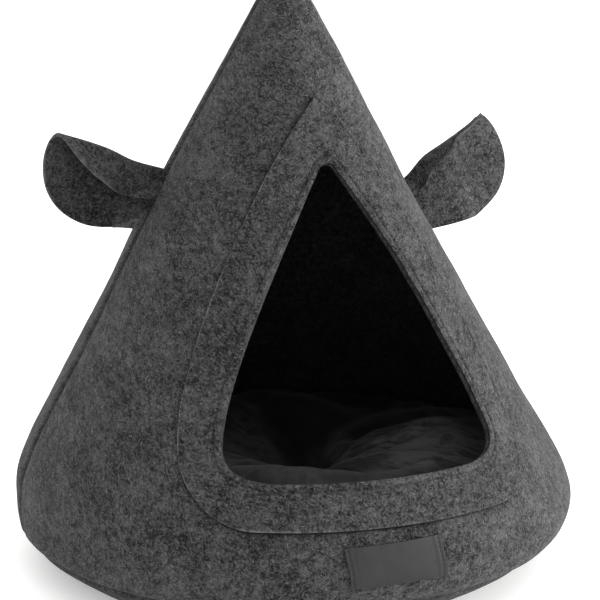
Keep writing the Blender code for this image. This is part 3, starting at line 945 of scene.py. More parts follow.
@dataclass(frozen=True)
class ThreadFinish:
    """Spun polyester sewing thread: two twisted plies, which show as slanting light and dark bands."""

    name: str
    shade: str
    glint: str
    ply_mm: float = 0.6
    bump_mm: float = 0.08

    def material(self) -> Material:
        """Build the finish.

        Returns:
            Its node material.
        """
        material, tree = empty_material(self.name)
        place = add_node(tree, "ShaderNodeTexCoord").outputs["Object"]
        twist = add_node(tree, "ShaderNodeTexWave", {"wave_type": "BANDS", "bands_direction": "DIAGONAL"}, {
            "Vector": place, "Scale": BAND_PERIOD / (self.ply_mm * MM), "Distortion": 0.8,
        }).outputs["Fac"]
        colour = add_node(tree, "ShaderNodeMix", {"data_type": "RGBA"}, {
            0: twist, 6: linear(self.shade), 7: linear(self.glint),
        }).outputs[2]
        bump = add_node(tree, "ShaderNodeBump", {}, {
            "Height": twist, "Strength": 0.7, "Distance": self.bump_mm * MM,
        })
        shader = add_node(tree, "ShaderNodeBsdfPrincipled", {}, {
            "Base Color": colour, "Normal": bump.outputs[0], "Roughness": 0.6, "IOR": 1.5,
        })
        add_node(tree, "ShaderNodeOutputMaterial", {}, {"Surface": shader.outputs[0]})
        return material


@dataclass(frozen=True)
class SweepFinish:
    """Opal acrylic light table: a matt white floor with a faint grain, aglow so that shadows stay pale."""

    name: str = "opal_acrylic_light_table"
    shade: str = "#f0f0ef"
    tint: str = "#f7f7f6"
    grain_mm: float = 6.0
    glow: float = 0.22

    def material(self) -> Material:
        """Build the finish.

        Returns:
            Its node material.
        """
        material, tree = empty_material(self.name)
        place = add_node(tree, "ShaderNodeTexCoord").outputs["Object"]
        grain = add_node(tree, "ShaderNodeTexNoise", {}, {
            "Vector": place, "Scale": 1.0 / (self.grain_mm * MM), "Detail": 3.0,
        }).outputs["Fac"]
        colour = add_node(tree, "ShaderNodeMix", {"data_type": "RGBA"}, {
            0: grain, 6: linear(self.shade), 7: linear(self.tint),
        }).outputs[2]
        shader = add_node(tree, "ShaderNodeBsdfPrincipled", {}, {
            "Base Color": colour, "Roughness": 0.9, "IOR": 1.45, "Specular IOR Level": 0.2,
            "Emission Color": (1.0, 1.0, 1.0, 1.0), "Emission Strength": self.glow,
        })
        add_node(tree, "ShaderNodeOutputMaterial", {}, {"Surface": shader.outputs[0]})
        return material


class Held(Enum):
    """How a sheet of the cave is held."""

    STRETCHED = "stretched"
    FOLDED = "folded"
    LAID = "laid"


def dress(piece: Piece, material: Material, slot: str, *nodes: str) -> None:
    """Give a piece its material, let it ride with the cave and say which frame nodes it stands for.

    Args:
        piece: the piece.
        material: its material.
        slot: not used.
        nodes: the frame's nodes that it replaces.
    """
    piece.data.materials.clear()
    piece.data.materials.append(material)
    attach(piece, BODY)
    if nodes:
        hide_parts(*nodes)


# ---------------------------------------------------------------- the wall
@dataclass
class Wall:
    """The two wall panels, meeting in rolled seams at the sides, and the doorway cut in the front one."""

    felt: float = 3.0 * MM
    seam_gap: float = 0.15 * MM
    seam_gap_radius: float = 0.2        # where round the cave that gap is measured
    under_band: float = 0.15 * MM       # how far the facing's seam draws the panel in
    inner_groove: float = 0.4           # share of a groove that shows inside the cave
    # painted shade down the middle of the cut edges
    edge_painted_shade: float = -0.5
    # painted shade where the felt rolls into the side seams
    seam_shade: float = 0.5
    seam_shade_width: float = 4.5 * MM
    # painted shade under the facing's free edge
    tuck_shade: float = 0.55
    tuck_depth: float = 0.5 * MM
    tuck_width: float = 1.1 * MM
    rings_under: int = 30
    rings_beyond: int = 46
    under_crowding: tuple[float, float] = (0.8, 0.85)
    beyond_crowding: tuple[float, float] = (0.93, 0.9)
    back_columns: int = 150
    back_rows: int = 150
    back_crowding: tuple[float, float] = (0.9, 0.9)
    upward_crowding: tuple[float, float] = (0.9, 0.2)
    corner_turn: float = 0.95
    corner_height: float = 0.075

    def build(self) -> list[Piece]:
        """Build and dress both panels.

        Returns:
            The front and the back panel.
        """
        material = FeltFinish("needle_punched_marl_felt_wall").material()
        front, front_area = self.front()
        back, back_area = self.back()
        width = math.pi * float(WALL.radius(np.array(WALL.belly_height)))
        length = float(WALL.slant(np.array(WALL.tip_height)))
        for piece, area, node in ((front, front_area, "front_panel"), (back, back_area, "back_panel")):
            dress(piece, material, "wall_felt", node)
        return [front, back]

    def faces(self, turn: Array, height: Array, groove: Array) -> tuple[Array, Array]:
        """Outer and inner face of the felt at places on the wall.

        Args:
            turn: angles round the cave.
            height: heights.
            groove: how far both faces are pulled in.

        Returns:
            Points of the outer and of the inner face.
        """
        dip = WALL.seam_dip(turn, height)
        wave = WALL.waves(turn, height)
        outer = WALL.point(turn, height, wave - groove - dip)
        inner = WALL.point(turn, height, wave - self.felt - self.inner_groove * groove)
        return outer, inner

    def front(self) -> tuple[Piece, float]:
        """Build the front panel in rings from the doorway's edge out to its seams.

        Returns:
            The panel and the area of its felt.
        """
        door_turn, door_height = DOORWAY.loop(DOOR_COUNTS, SILL_STEPS)
        marks = np.cumsum([0, POINT_STEPS, SIDE_STEPS, CORNER_STEPS // 2, CORNER_STEPS // 2, SILL_STEPS])
        side = math.pi / 2.0 - self.seam_gap / self.seam_gap_radius
        rim_turn = [0.0, side, side, side, self.corner_turn, 0.0]
        rim_height = [WALL.tip_height, WALL.tip_height, self.corner_height] + [WALL.seam_height] * 3
        index = np.arange(marks[-1] + 1)
        half_turn = np.interp(index, marks, rim_turn)
        half_height = np.interp(index, marks, rim_height)
        edge_turn = np.concatenate([half_turn, -half_turn[-2:0:-1]])
        edge_height = np.concatenate([half_height, half_height[-2:0:-1]])
        band_turn, band_height = FACING_EDGE.loop(FACING_COUNTS, SILL_STEPS)
        under = crowded(self.rings_under, *self.under_crowding)[:, None]
        beyond = crowded(self.rings_beyond, *self.beyond_crowding)[1:, None]
        turn, height = (
            np.concatenate([(1.0 - under) * door + under * band, (1.0 - beyond) * band + beyond * edge])
            for door, band, edge in (
                (door_turn, band_turn, edge_turn), (door_height, band_height, edge_height),
            )
        )
        flat = flat_places(turn, height)
        distance = distance_from_ring(flat, flat_places(door_turn, door_height))
        tucked = bell(distance_from_ring(flat, flat_places(band_turn, band_height)), self.tuck_width)
        groove = TOPSTITCH.groove(distance) + self.under_band + self.tuck_depth * tucked
        outer, inner = self.faces(turn, height, groove)
        # painted shade under the facing's free edge and at the side seams
        shade = -np.maximum(self.tuck_shade * tucked, self.painted_seam_shade(turn, height))
        piece = sheet_piece("front_panel_felt", outer, inner, flat, wrapped=True, tint=shade,
                            side_tint=self.edge_painted_shade)
        return piece, area_of(np.concatenate([outer, outer[:, :1]], axis=1))

    def painted_seam_shade(self, turn: Array, height: Array) -> Array:
        """Painted shade where the felt is pulled in to the side seams."""
        side = (math.pi / 2.0 - np.abs(turn)) * WALL.radius(height)
        return self.seam_shade * bell(side, self.seam_shade_width)

    def back(self) -> tuple[Piece, float]:
        """Build the back panel in level rows from seam to seam.

        Returns:
            The panel and the area of its felt.
        """
        across = crowded(self.back_columns, *self.back_crowding)
        upward = crowded(self.back_rows, *self.upward_crowding)
        side = math.pi / 2.0 - self.seam_gap / self.seam_gap_radius
        turn, height = np.meshgrid(
            -side + 2.0 * side * across,
            WALL.seam_height + (WALL.tip_height - WALL.seam_height) * upward,
        )
        dip = WALL.seam_dip(turn, height)
        wave = WALL.waves(turn + math.pi, height)
        outer = WALL.point(turn + math.pi, height, wave - dip)
        inner = WALL.point(turn + math.pi, height, wave - self.felt)
        # painted shade at the side seams
        shade = -self.painted_seam_shade(turn, height)
        piece = sheet_piece("back_panel_felt", outer, inner, flat_places(turn, height), tint=shade)
        return piece, area_of(outer)


# ---------------------------------------------------------------- the doorway's facing
@dataclass
class DoorFacing:
    """The felt band round the doorway, topstitched near the doorway's edge and free at its outer edge."""

    felt: float = 2.0 * MM
    gap: float = 0.25 * MM
    rings: int = 54
    ring_crowding: tuple[float, float] = (0.75, 0.85)
    edge_lift: float = 1.3 * MM
    edge_width: float = 6.0 * MM
    lip: float = 0.4 * MM               # a faint ridge just inside the free edge
    lip_inset: float = 1.1 * MM
    lip_width: float = 0.9 * MM
    inner_groove: float = 0.55          # share of the stitches' groove that shows underneath
    cloth_start: tuple[float, float] = (0.31, 0.17)
    least_lift: float = 0.25            # share of the lift that every point of the free edge has
    lift_run: tuple[float, float] = (31.0, 17.0)
    lift_waves: tuple[tuple[float, float, float], ...] = ((0.28, 1.7, 0.6), (0.22, 4.3, 2.0))
    pale_width: float = 0.7 * MM
    pale_right: float = 0.12            # how strongly the pale cut fibres and their painted highlight show at the right
    pale_left: float = 0.78             # and how much more at the left
    left_softness: float = 14.0 * MM
    beads: tuple[float, tuple[tuple[float, float, float], ...]] = (0.62, ((0.25, 1.9, 0.0), (0.30, 4.3, 1.0)))
    stretches: tuple[float, tuple[tuple[float, float, float], ...]] = (0.75, ((0.35, 17.0, 0.5),))
    # painted shade down the middle of the cut edges
    edge_painted_shade: float = -0.6
    stitch_points: int = 7
    stitch_arch: float = 0.75           # how far a stitch's middle stands up, in thread thicknesses
    stitch_sink: float = 0.45           # and how far its ends sink

    def build(self) -> list[Piece]:
        """Build and dress the band and its stitches.

        Returns:
            The band and the stitches.
        """
        door_turn, door_height = DOORWAY.loop(DOOR_COUNTS, SILL_STEPS)
        edge_turn, edge_height = FACING_EDGE.loop(FACING_COUNTS, SILL_STEPS)
        part = crowded(self.rings, *self.ring_crowding)[:, None]
        turn = (1.0 - part) * door_turn + part * edge_turn
        height = (1.0 - part) * door_height + part * edge_height
        flat = flat_places(turn, height)
        edge_flat = flat_places(edge_turn, edge_height)
        groove = TOPSTITCH.groove(distance_from_ring(flat, flat_places(door_turn, door_height)))
        outside = distance_from_ring(flat, edge_flat)
        lift = self.lift(edge_flat)[None] * bell(outside, self.edge_width)
        base = WALL.waves(turn, height) + self.gap + lift
        lip = self.lip * bell(outside - self.lip_inset, self.lip_width)
        outer = WALL.point(turn, height, base + self.felt - groove + lip)
        inner = WALL.point(turn, height, base - self.inner_groove * groove)
        # pale cut fibre ends with a painted highlight along the free edge
        tint = self.pale_ends_and_painted_highlight(edge_flat)[None] * bell(outside, self.pale_width)
        band = sheet_piece("door_facing_felt", outer, inner, flat + np.array(self.cloth_start), wrapped=True,
                           tint=tint, side_tint=self.edge_painted_shade)
        material = FeltFinish("needle_punched_marl_felt_facing").material()
        dress(band, material, "facing_felt", "door_facing")
        stitches = self.stitches(door_turn, door_height)
        thread = ThreadFinish("spun_polyester_thread_dark", shade="#161616", glint="#3a3a3a").material()
        dress(stitches, thread, "facing_felt")
        return [band, stitches]

    def lift(self, edge: Array) -> Array:
        """How far the band's outer edge stands off the wall, in slow uneven waves.

        Args:
            edge: flat places round the outer edge.

        Returns:
            The height of the edge off the wall at each of them.
        """
        along = edge[:, 0] * self.lift_run[0] + edge[:, 1] * self.lift_run[1]
        ripple = 0.5 + sum(share * np.sin(along * pace + phase) for share, pace, phase in self.lift_waves)
        return self.edge_lift * np.clip(ripple, self.least_lift, 1.0)

    def pale_ends_and_painted_highlight(self, edge: Array) -> Array:
        """How much pale cut fibres and a painted highlight show round the outer edge: in beads, and most on
        its left side.

        Args:
            edge: flat places round the outer edge.

        Returns:
            A share from 0 to 1 at each of them.
        """
        along = np.concatenate([[0.0], np.cumsum(np.linalg.norm(np.diff(edge, axis=0), axis=1))])
        beads, stretches = (
            base + sum(share * np.sin(along / (length_mm * MM) + phase) for share, length_mm, phase in waves)
            for base, waves in (self.beads, self.stretches)
        )
        leftness = past(-edge[:, 0], 0.0, self.left_softness)
        return np.clip(beads * stretches, 0.0, 1.0) * (self.pale_right + self.pale_left * leftness)

    def stitches(self, turn: Array, height: Array) -> Piece:
        """Build the topstitching, one short thread to a stitch, lying in its groove.

        Args:
            turn: angles round the doorway's edge.
            height: heights round it.

        Returns:
            The stitches, as one piece.
        """
        ring = flat_places(turn, height)
        tangent = np.roll(ring, -1, axis=0) - np.roll(ring, 1, axis=0)
        tangent /= np.linalg.norm(tangent, axis=1, keepdims=True)
        outward = np.stack([-tangent[:, 1], tangent[:, 0]], axis=1)
        middle = ring.mean(axis=0)
        outward *= np.sign(np.sum(outward * (ring - middle), axis=1, keepdims=True))
        line = ring + TOPSTITCH.inset * outward
        line = np.concatenate([line, line[:1]])
        steps = np.concatenate([[0.0], np.cumsum(np.linalg.norm(np.diff(line, axis=0), axis=1))])
        count = int(steps[-1] / TOPSTITCH.pitch)
        ladder = np.linspace(0.0, WALL.tip_height, WALL_LADDER)
        slants = WALL.slant(ladder)
        share = np.linspace(-0.5, 0.5, self.stitch_points)
        bow = self.stitch_arch * np.cos(share * np.pi) - self.stitch_sink
        rise = self.gap + self.felt - TOPSTITCH.groove_depth + TOPSTITCH.thread * bow
        runs = []
        for index in range(count):
            along = (index + 0.5) * steps[-1] / count + share * TOPSTITCH.length
            across = np.interp(along, steps, line[:, 0])
            level = np.interp(np.interp(along, steps, line[:, 1]), slants, ladder)
            around = across / WALL.radius(level)
            runs.append(WALL.point(around, level, WALL.waves(around, level) + rise))
        return thread_piece("door_facing_topstitch", runs, TOPSTITCH.thread)


# ---------------------------------------------------------------- the floor
@dataclass
class Floor:
    """The round felt floor with its rim turned up to the wall's lower seam."""

    felt: float = 4.0 * MM
    columns: int = 240
    rim_rows: int = 34
    flat_rows: int = 36
    rim_crowding: tuple[float, float] = (0.9, 0.4)
    heel: float = 3.0 * MM              # how far the flat underside stops short of the rim
    settled: float = 12.0 * MM          # height up to which the floor beneath evens out the felt's waves
    outer_wave: float = 0.6             # share of the wall's waves that the rim's two faces take up
    inner_wave: float = 0.5
    inset: float = 0.2 * MM
    middle_part: float = 0.012          # where the rows stop, short of the middle
    rim_cloth: float = 0.2              # metres of cloth to a radian round the rim
    cloth_start: tuple[float, float] = (0.9, 0.4)

    def build(self) -> list[Piece]:
        """Build and dress the floor.

        Returns:
            The floor, as a list of one.
        """
        heights = WALL.seam_height * (1.0 - crowded(self.rim_rows, *self.rim_crowding))
        turn = np.linspace(0.0, 2.0 * np.pi, self.columns, endpoint=False)
        turns, rims = np.meshgrid(turn, heights)
        seam_dip = WALL.seam_roll * bell(WALL.seam_height - rims, WALL.seam_roll_width)
        wave = self.outer_wave * WALL.waves(turns, rims) * np.clip(rims / self.settled, 0.0, 1.0)
        outer_rim = WALL.point(turns, rims, wave - seam_dip - self.inset)
        inner_rim = WALL.point(turns, np.maximum(rims, self.felt), wave * self.inner_wave - self.felt)
        heel_radius = float(WALL.radius(np.array(0.0))) - self.heel
        row_radius = heel_radius * np.linspace(1.0, self.middle_part, self.flat_rows)[:, None]
        outer_flat = np.stack([
            row_radius * np.sin(turn), -row_radius * np.cos(turn), np.zeros_like(row_radius * turn),
        ], axis=-1)
        inner_flat = outer_flat + np.array([0.0, 0.0, self.felt])
        outer_rim[..., 2] = np.maximum(outer_rim[..., 2], 0.0)
        inner_rim[..., 2] = np.maximum(inner_rim[..., 2], self.felt)
        outer = np.concatenate([outer_rim, outer_flat])
        inner = np.concatenate([inner_rim, inner_flat])
        cloth = np.concatenate([
            np.stack([turns * self.rim_cloth, WALL.slant(rims)], axis=-1) + np.array(self.cloth_start),
            outer_flat[..., :2],
        ])
        piece = sheet_piece("base_panel_felt", outer, inner, cloth, wrapped=True)
        material = FeltFinish("needle_punched_marl_felt_floor", dark="#1c1c1c", light="#4e4e4e").material()
        dress(piece, material, "floor_felt", "base_panel")
        across = 2.0 * float(WALL.radius(np.array(0.0)) - WALL.slant(np.array(0.0)))
        return [piece]


# ---------------------------------------------------------------- the ears
class EarWave(NamedTuple):
    """A faint ripple of the ear's felt: its height and how fast it turns along and down the flat cut."""

    rise_mm: float
    direction: tuple[float, float]
    phase: float


EAR_WAVES = (EarWave(0.5, (95.0, 60.0), 0.0), EarWave(0.3, (40.0, -150.0), 1.0))


class EarFold(NamedTuple):
    """How an ear is curled at one distance along its crease."""

    along: float
    curl_radius: float
    curl_degrees: float
    roll_degrees: float


@dataclass
class Ear:
    """A disc of felt with a broad root, curled over along its crease and sewn into the side seam.

    Its flat cut is measured along the crease from the wall, and down from the crease.
    """

    name: str
    side: float
    crease_x: float
    crease_z: float
    climb_degrees: float
    disc_drop: float
    disc_radius: float
    disc_reach: float
    root_above: float
    root_below: float
    sweep_back: float
    folds: tuple[EarFold, ...]
    pale_edge: float = 0.45
    side_tint: float = 0.2
    # painted shade over the whole ear
    painted_shade: float = 0.0
    felt: float = 3.0 * MM
    root_inset: float = 0.030
    sweep: float = math.radians(104)
    rows: int = 54
    columns: int = 110
    edge_crowding: float = 0.85
    crease_column: float = -0.13
    column_crowding: float = 1.35
    embed: float = 1.6 * MM
    probes: int = 241
    pale_width: float = 0.8 * MM
    cloth_start: tuple[float, float] = (0.5, 0.7)

    def cut(self, out: Array, across: Array) -> tuple[Array, Array]:
        """Find places on the flat cut.

        Args:
            out: parts of the way from the root to the edge, from 0 to 1.
            across: parts of the way across, from -1 at the upper side to 1 at the lower.

        Returns:
            How far along the crease and how far down from it each place lies.
        """
        half = np.where(across < 0.0, self.root_above, self.root_below)
        root_along, root_down = -self.root_inset, self.disc_drop + half * across
        edge_along = self.disc_reach + self.disc_radius * np.cos(self.sweep * across)
        edge_down = self.disc_drop + self.disc_radius * np.sin(self.sweep * across)
        return root_along + (edge_along - root_along) * out, root_down + (edge_down - root_down) * out

    def folded(self, along: Array, down: Array) -> Array:
        """Curl the flat cut into the ear.

        Args:
            along: distances along the crease.
            down: distances down from it.

        Returns:
            The point of each place, with a last axis of x, y and z.
        """
        radius, curl, roll = (
            HeightTable(tuple((fold.along, getattr(fold, column)) for fold in self.folds)).read(along)
            for column in ("curl_radius", "curl_degrees", "roll_degrees")
        )
        curl, roll = np.radians(curl), np.radians(roll)
        over = np.maximum(-down, 0.0)
        turn = np.minimum(over / radius, curl)
        straight = np.maximum(over - radius * curl, 0.0)
        forward = radius * (1.0 - np.cos(turn)) + straight * np.sin(curl)
        drop = np.where(down < 0.0, -radius * np.sin(turn) - straight * np.cos(curl), down)
        rolled_forward = forward * np.cos(roll) + drop * np.sin(roll)
        rolled_drop = drop * np.cos(roll) - forward * np.sin(roll)
        climb = math.radians(self.climb_degrees)
        return np.stack([
            self.crease_x + self.side * (along * math.cos(climb) + rolled_drop * math.sin(climb)),
            self.folds[0].curl_radius - rolled_forward + self.sweep_back * np.maximum(along, 0.0) ** 2,
            self.crease_z + along * math.sin(climb) - rolled_drop * math.cos(climb),
        ], axis=-1)

    def inside_wall(self, points: Array) -> Array:
        """How far points lie inside the wall's outer face.

        Args:
            points: points, with a last axis of x, y and z.

        Returns:
            The depth of each, negative outside the wall.
        """
        height = points[..., 2]
        radius = np.hypot(points[..., 0] - WALL.lean_table.read(height), points[..., 1])
        return (WALL.radius(height) - radius) / np.sqrt(1.0 + WALL.slope(height) ** 2)

    def build(self, material: Material) -> list[Piece]:
        """Build and dress the ear, from the seam outwards.

        Args:
            material: the felt that both ears share.

        Returns:
            The ear, as a list of one.
        """
        spread = np.linspace(-1.0, 1.0, self.columns + 1)
        bent = np.abs(spread) ** self.column_crowding
        across = np.where(
            spread < 0.0,
            self.crease_column - (1.0 + self.crease_column) * bent,
            self.crease_column + (1.0 - self.crease_column) * bent,
        )
        probe = np.linspace(0.0, 1.0, self.probes)[:, None]
        depth = self.inside_wall(self.folded(*self.cut(probe, across[None]))) - self.embed
        inside = depth > 0.0
        last = np.where(inside.any(axis=0), len(probe) - 1 - np.argmax(inside[::-1], axis=0), 0)
        start = probe[last, 0]
        part = crowded(self.rows, 0.0, self.edge_crowding)[:, None]
        out = start + (1.0 - start) * part
        along, down = self.cut(out, across[None])
        middle = self.folded(along, down)
        normal = np.cross(np.gradient(middle, axis=0), np.gradient(middle, axis=1))
        normal /= np.maximum(np.linalg.norm(normal, axis=-1, keepdims=True), 1e-12)
        ripple = sum(
            wave.rise_mm * MM * np.sin(wave.direction[0] * along + wave.direction[1] * down + wave.phase)
            for wave in EAR_WAVES
        )
        middle = middle + normal * (ripple * np.clip(part * 3.0, 0.0, 1.0))[..., None]
        outer = middle + normal * self.felt / 2.0
        inner = middle - normal * self.felt / 2.0
        cloth = np.stack([along, down], axis=-1) + np.array(self.cloth_start) * (self.side, 1.0)
        middle_along, middle_down = along - self.disc_reach, down - self.disc_drop
        rim = self.disc_radius - np.hypot(middle_along, middle_down)
        # pale cut fibre ends round the rim, less the painted shade over the whole ear
        tint = self.pale_edge * bell(np.maximum(rim, 0.0), self.pale_width) - self.painted_shade
        piece = sheet_piece(f"{self.name}_felt", outer, inner, cloth, tint=tint, side_tint=self.side_tint)
        dress(piece, material, "ear_felt", self.name)
        return [piece]


EAR_LEFT = Ear(
    name="ear_left", side=-1.0, crease_x=-0.1000, crease_z=0.3082, climb_degrees=16.6, disc_drop=0.0068,
    disc_radius=0.0463, disc_reach=0.0442, root_above=0.0291, root_below=0.0291, sweep_back=0.0,
    folds=(
        EarFold(-0.030, 0.0036, 172.0, 0.0),
        EarFold(0.000, 0.0036, 172.0, 0.0),
        EarFold(0.025, 0.0048, 160.0, -9.0),
        EarFold(0.050, 0.0087, 147.0, -11.0),
        EarFold(0.075, 0.0097, 137.0, -6.0),
        EarFold(0.100, 0.0099, 119.0, 4.0),
    # painted shade darkens the left ear
    ), painted_shade=0.18,
)
EAR_RIGHT = Ear(
    name="ear_right", side=1.0, crease_x=0.1062, crease_z=0.2943, climb_degrees=33.8, disc_drop=0.0143,
    disc_radius=0.0484, disc_reach=0.0480, root_above=0.0299, root_below=0.0193, sweep_back=2.0,
    folds=(
        EarFold(-0.030, 0.0044, 170.0, 0.0),
        EarFold(0.000, 0.0044, 170.0, 0.0),
        EarFold(0.025, 0.0097, 128.0, 2.5),
        EarFold(0.050, 0.0095, 73.5, -3.5),
        EarFold(0.075, 0.0030, 68.1, 1.1),
        EarFold(0.100, 0.0031, 103.0, 4.0),
    # painted shade down the middle of the right ear's cut edge
    ), pale_edge=0.0, side_tint=-0.8,
)


# ---------------------------------------------------------------- the cushion
class Mound(NamedTuple):
    """A soft rise or hollow in the top of the cushion, longer one way than the other."""

    x: float
    y: float
    long_radius: float
    short_radius: float
    turn_degrees: float
    rise: float


class Ridge(NamedTuple):
    """A soft fold of the cover between two places, bowed sideways, with its width and rise."""

    x0: float
    y0: float
    x1: float
    y1: float
    bow: float
    width: float
    rise: float


@dataclass
class Cushion:
    """The filled plush cushion: full sides, a puffed ring, and a middle drawn down by a tuft."""

    crown: tuple[tuple[float, float], ...] = (
        (0.0, 0.0640), (0.016, 0.0655), (0.035, 0.072), (0.060, 0.080), (0.090, 0.086), (0.120, 0.0885),
        (0.150, 0.088), (0.175, 0.085), (0.194, 0.079),
    )
    mounds: tuple[Mound, ...] = (
        Mound(0.106, -0.040, 0.058, 0.040, 58.0, 0.0170),      # puffed right side, nearest the doorway
        Mound(0.078, 0.075, 0.075, 0.040, 30.0, -0.0130),      # hollow behind it
        Mound(0.100, 0.135, 0.060, 0.045, -40.0, -0.0100),
        Mound(-0.062, 0.020, 0.075, 0.042, 75.0, 0.0110),      # left of the tuft
        Mound(0.012, 0.075, 0.070, 0.022, 92.0, -0.0110),      # valley going back from the tuft
        Mound(-0.052, -0.096, 0.055, 0.022, 5.0, 0.0060),      # front roll
        Mound(0.040, -0.084, 0.042, 0.026, -12.0, -0.0090),    # dip between the roll and the right side
        Mound(0.022, 0.002, 0.022, 0.018, 10.0, -0.0070),      # the tuft's hollow
        Mound(-0.030, -0.060, 0.045, 0.014, 20.0, -0.0060),
    )
    ridges: tuple[Ridge, ...] = (
        Ridge(0.030, -0.022, 0.128, 0.014, 0.006, 0.0110, 0.0030),     # upper edge of the right mound
        Ridge(0.022, -0.034, 0.150, -0.034, -0.006, 0.0062, 0.0036),   # fan of folds right of the tuft
        Ridge(0.026, -0.044, 0.126, -0.078, 0.006, 0.0056, 0.0034),
        Ridge(0.052, -0.030, 0.150, -0.008, -0.004, 0.0060, 0.0030),
        Ridge(-0.006, 0.132, -0.018, -0.012, 0.010, 0.0120, 0.0036),   # left mound's edge
        Ridge(0.060, 0.052, 0.046, 0.000, 0.004, 0.0080, 0.0030),      # small folds behind the tuft
        Ridge(0.036, 0.040, 0.032, 0.006, -0.003, 0.0060, 0.0022),
        Ridge(0.010, -0.020, 0.027, 0.010, 0.000, 0.0042, 0.0042),     # small fold over the tuft
        Ridge(-0.095, -0.070, 0.012, -0.112, 0.006, 0.0130, 0.0026),   # front roll
        Ridge(-0.002, -0.030, -0.120, 0.036, -0.008, 0.0080, -0.0038),  # crease behind the front roll
        Ridge(0.012, -0.024, 0.036, -0.112, -0.004, 0.0070, -0.0044),  # dark fold in front of the tuft
        Ridge(0.046, -0.052, 0.140, -0.056, 0.003, 0.0050, -0.0018),
        Ridge(0.046, -0.016, 0.120, -0.004, 0.003, 0.0050, -0.0016),
    )
    painted_light_patches: tuple[Mound, ...] = (                            # a positive rise adds painted light, a negative one painted shade
        Mound(-0.012, 0.076, 0.030, 0.013, 75.0, 0.34),        # left of the ring, towards the back
        Mound(-0.046, -0.003, 0.024, 0.012, 40.0, 0.26),
        Mound(-0.013, -0.006, 0.010, 0.007, 20.0, 0.20),
        Mound(0.018, 0.001, 0.011, 0.004, 60.0, 0.60),         # small fold over the tuft
        Mound(0.045, 0.016, 0.020, 0.008, 80.0, 0.34),
        Mound(0.010, -0.053, 0.026, 0.009, -60.0, -0.45),      # creases in front of the tuft
        Mound(0.030, -0.100, 0.018, 0.010, -50.0, -0.25),
        Mound(-0.030, -0.058, 0.050, 0.010, 20.0, -0.22),      # under the edge of the front roll
        Mound(0.000, -0.105, 0.018, 0.008, 10.0, 0.10),
        Mound(0.085, -0.092, 0.060, 0.026, 8.0, 0.50),         # right side, nearest the doorway
    )
    level_pale_share: float = 0.38         # share of painted light where the cover is level
    fold_full_highlight: float = 2.6 * MM / 0.34    # rise of a fold, and of a mound, that gives a full painted highlight
    mound_full_highlight: float = 13.0 * MM / 0.36
    least_pale_share: float = 0.02
    most_pale_share: float = 1.2
    near_edge: float = 0.022            # painted light falls on the pile in front of here
    near_softness: float = 0.030
    far_share: float = 0.10             # and this share of it behind, in painted shade
    roll_edge: float = -0.078           # painted light falls behind the edge of the front roll
    roll_slant: float = 0.6
    roll_softness: float = 0.010
    roll_share: float = 0.22            # and this share of it on the roll, in painted shade
    side_heights: tuple[float, ...] = (0.068, 0.056, 0.043, 0.030, 0.019, 0.010)
    middle_radius: float = 0.002        # the turned shape's rows run from here
    shoulder_radius: float = 0.18       # to here over the top, and on to the brim
    brim_radius: float = 0.194
    top_rows: int = 40
    underside_radius: float = 0.08      # a row half-way in underneath
    foot_radius: float = 0.166
    foot_height: float = 4.4 * MM
    clearance: float = 5.2 * MM
    final_clearance: float = 4.4 * MM
    start_shrink: float = 2.5 * MM
    shrunk_beyond: float = 0.15
    mounds_end: float = 0.200           # radius at which the mounds have died away, over the next width
    mounds_fade: float = 0.03
    columns: int = 120
    voxel: float = 5.0 * MM
    tuft: tuple[float, float] = (0.022, 0.006)
    tuft_radius: float = 0.010
    tuft_fade: float = 0.030
    tuft_depth: float = 0.03            # height down to which the tuft holds the cover
    foot_held: float = 4.0 * MM         # height over the underside up to which the floor holds it
    pressure: float = 4.0
    frames: int = 20
    swell_cap: float = 5.0 * MM
    top_height: float = 0.055           # the folds and creases die away below the top, over the next height
    top_fade: float = 0.012
    fold_start: float = 0.12            # part of a fold over which it rises, and over which it dies away
    fold_end: float = 0.45

    def build(self) -> list[Piece]:
        """Build, puff up and dress the cushion.

        Returns:
            The cushion, as a list of one.
        """
        piece = self.rough()
        self.puff(piece)
        self.finish_cover(piece)
        material = PlushFinish("brushed_short_pile_plush").material()
        dress(piece, material, "cushion_plush", "cushion")
        return [piece]

    def side_radius(self, height: Array) -> Array:
        """Radius that the cushion's side may reach at a height, inside the wall and the floor's rim."""
        return self.room(height, self.clearance)

    def room(self, height: Array, clearance: float) -> Array:
        """Radius at a height that keeps a clearance from the wall's outer face, measured square to it."""
        return WALL.radius(height) - clearance * np.sqrt(1.0 + WALL.slope(height) ** 2)

    def top_rise(self, x: Array, y: Array, mounds: tuple[Mound, ...]) -> Array:
        """Add up mounds.

        Args:
            x: places from left to right.
            y: places from front to back.
            mounds: the mounds and hollows.

        Returns:
            What they add at each place.
        """
        total = np.zeros_like(x)
        for mound in mounds:
            turn = math.radians(mound.turn_degrees)
            along = (x - mound.x) * math.cos(turn) + (y - mound.y) * math.sin(turn)
            aside = (y - mound.y) * math.cos(turn) - (x - mound.x) * math.sin(turn)
            total += mound.rise * bell(along, mound.long_radius) * bell(aside, mound.short_radius)
        return total

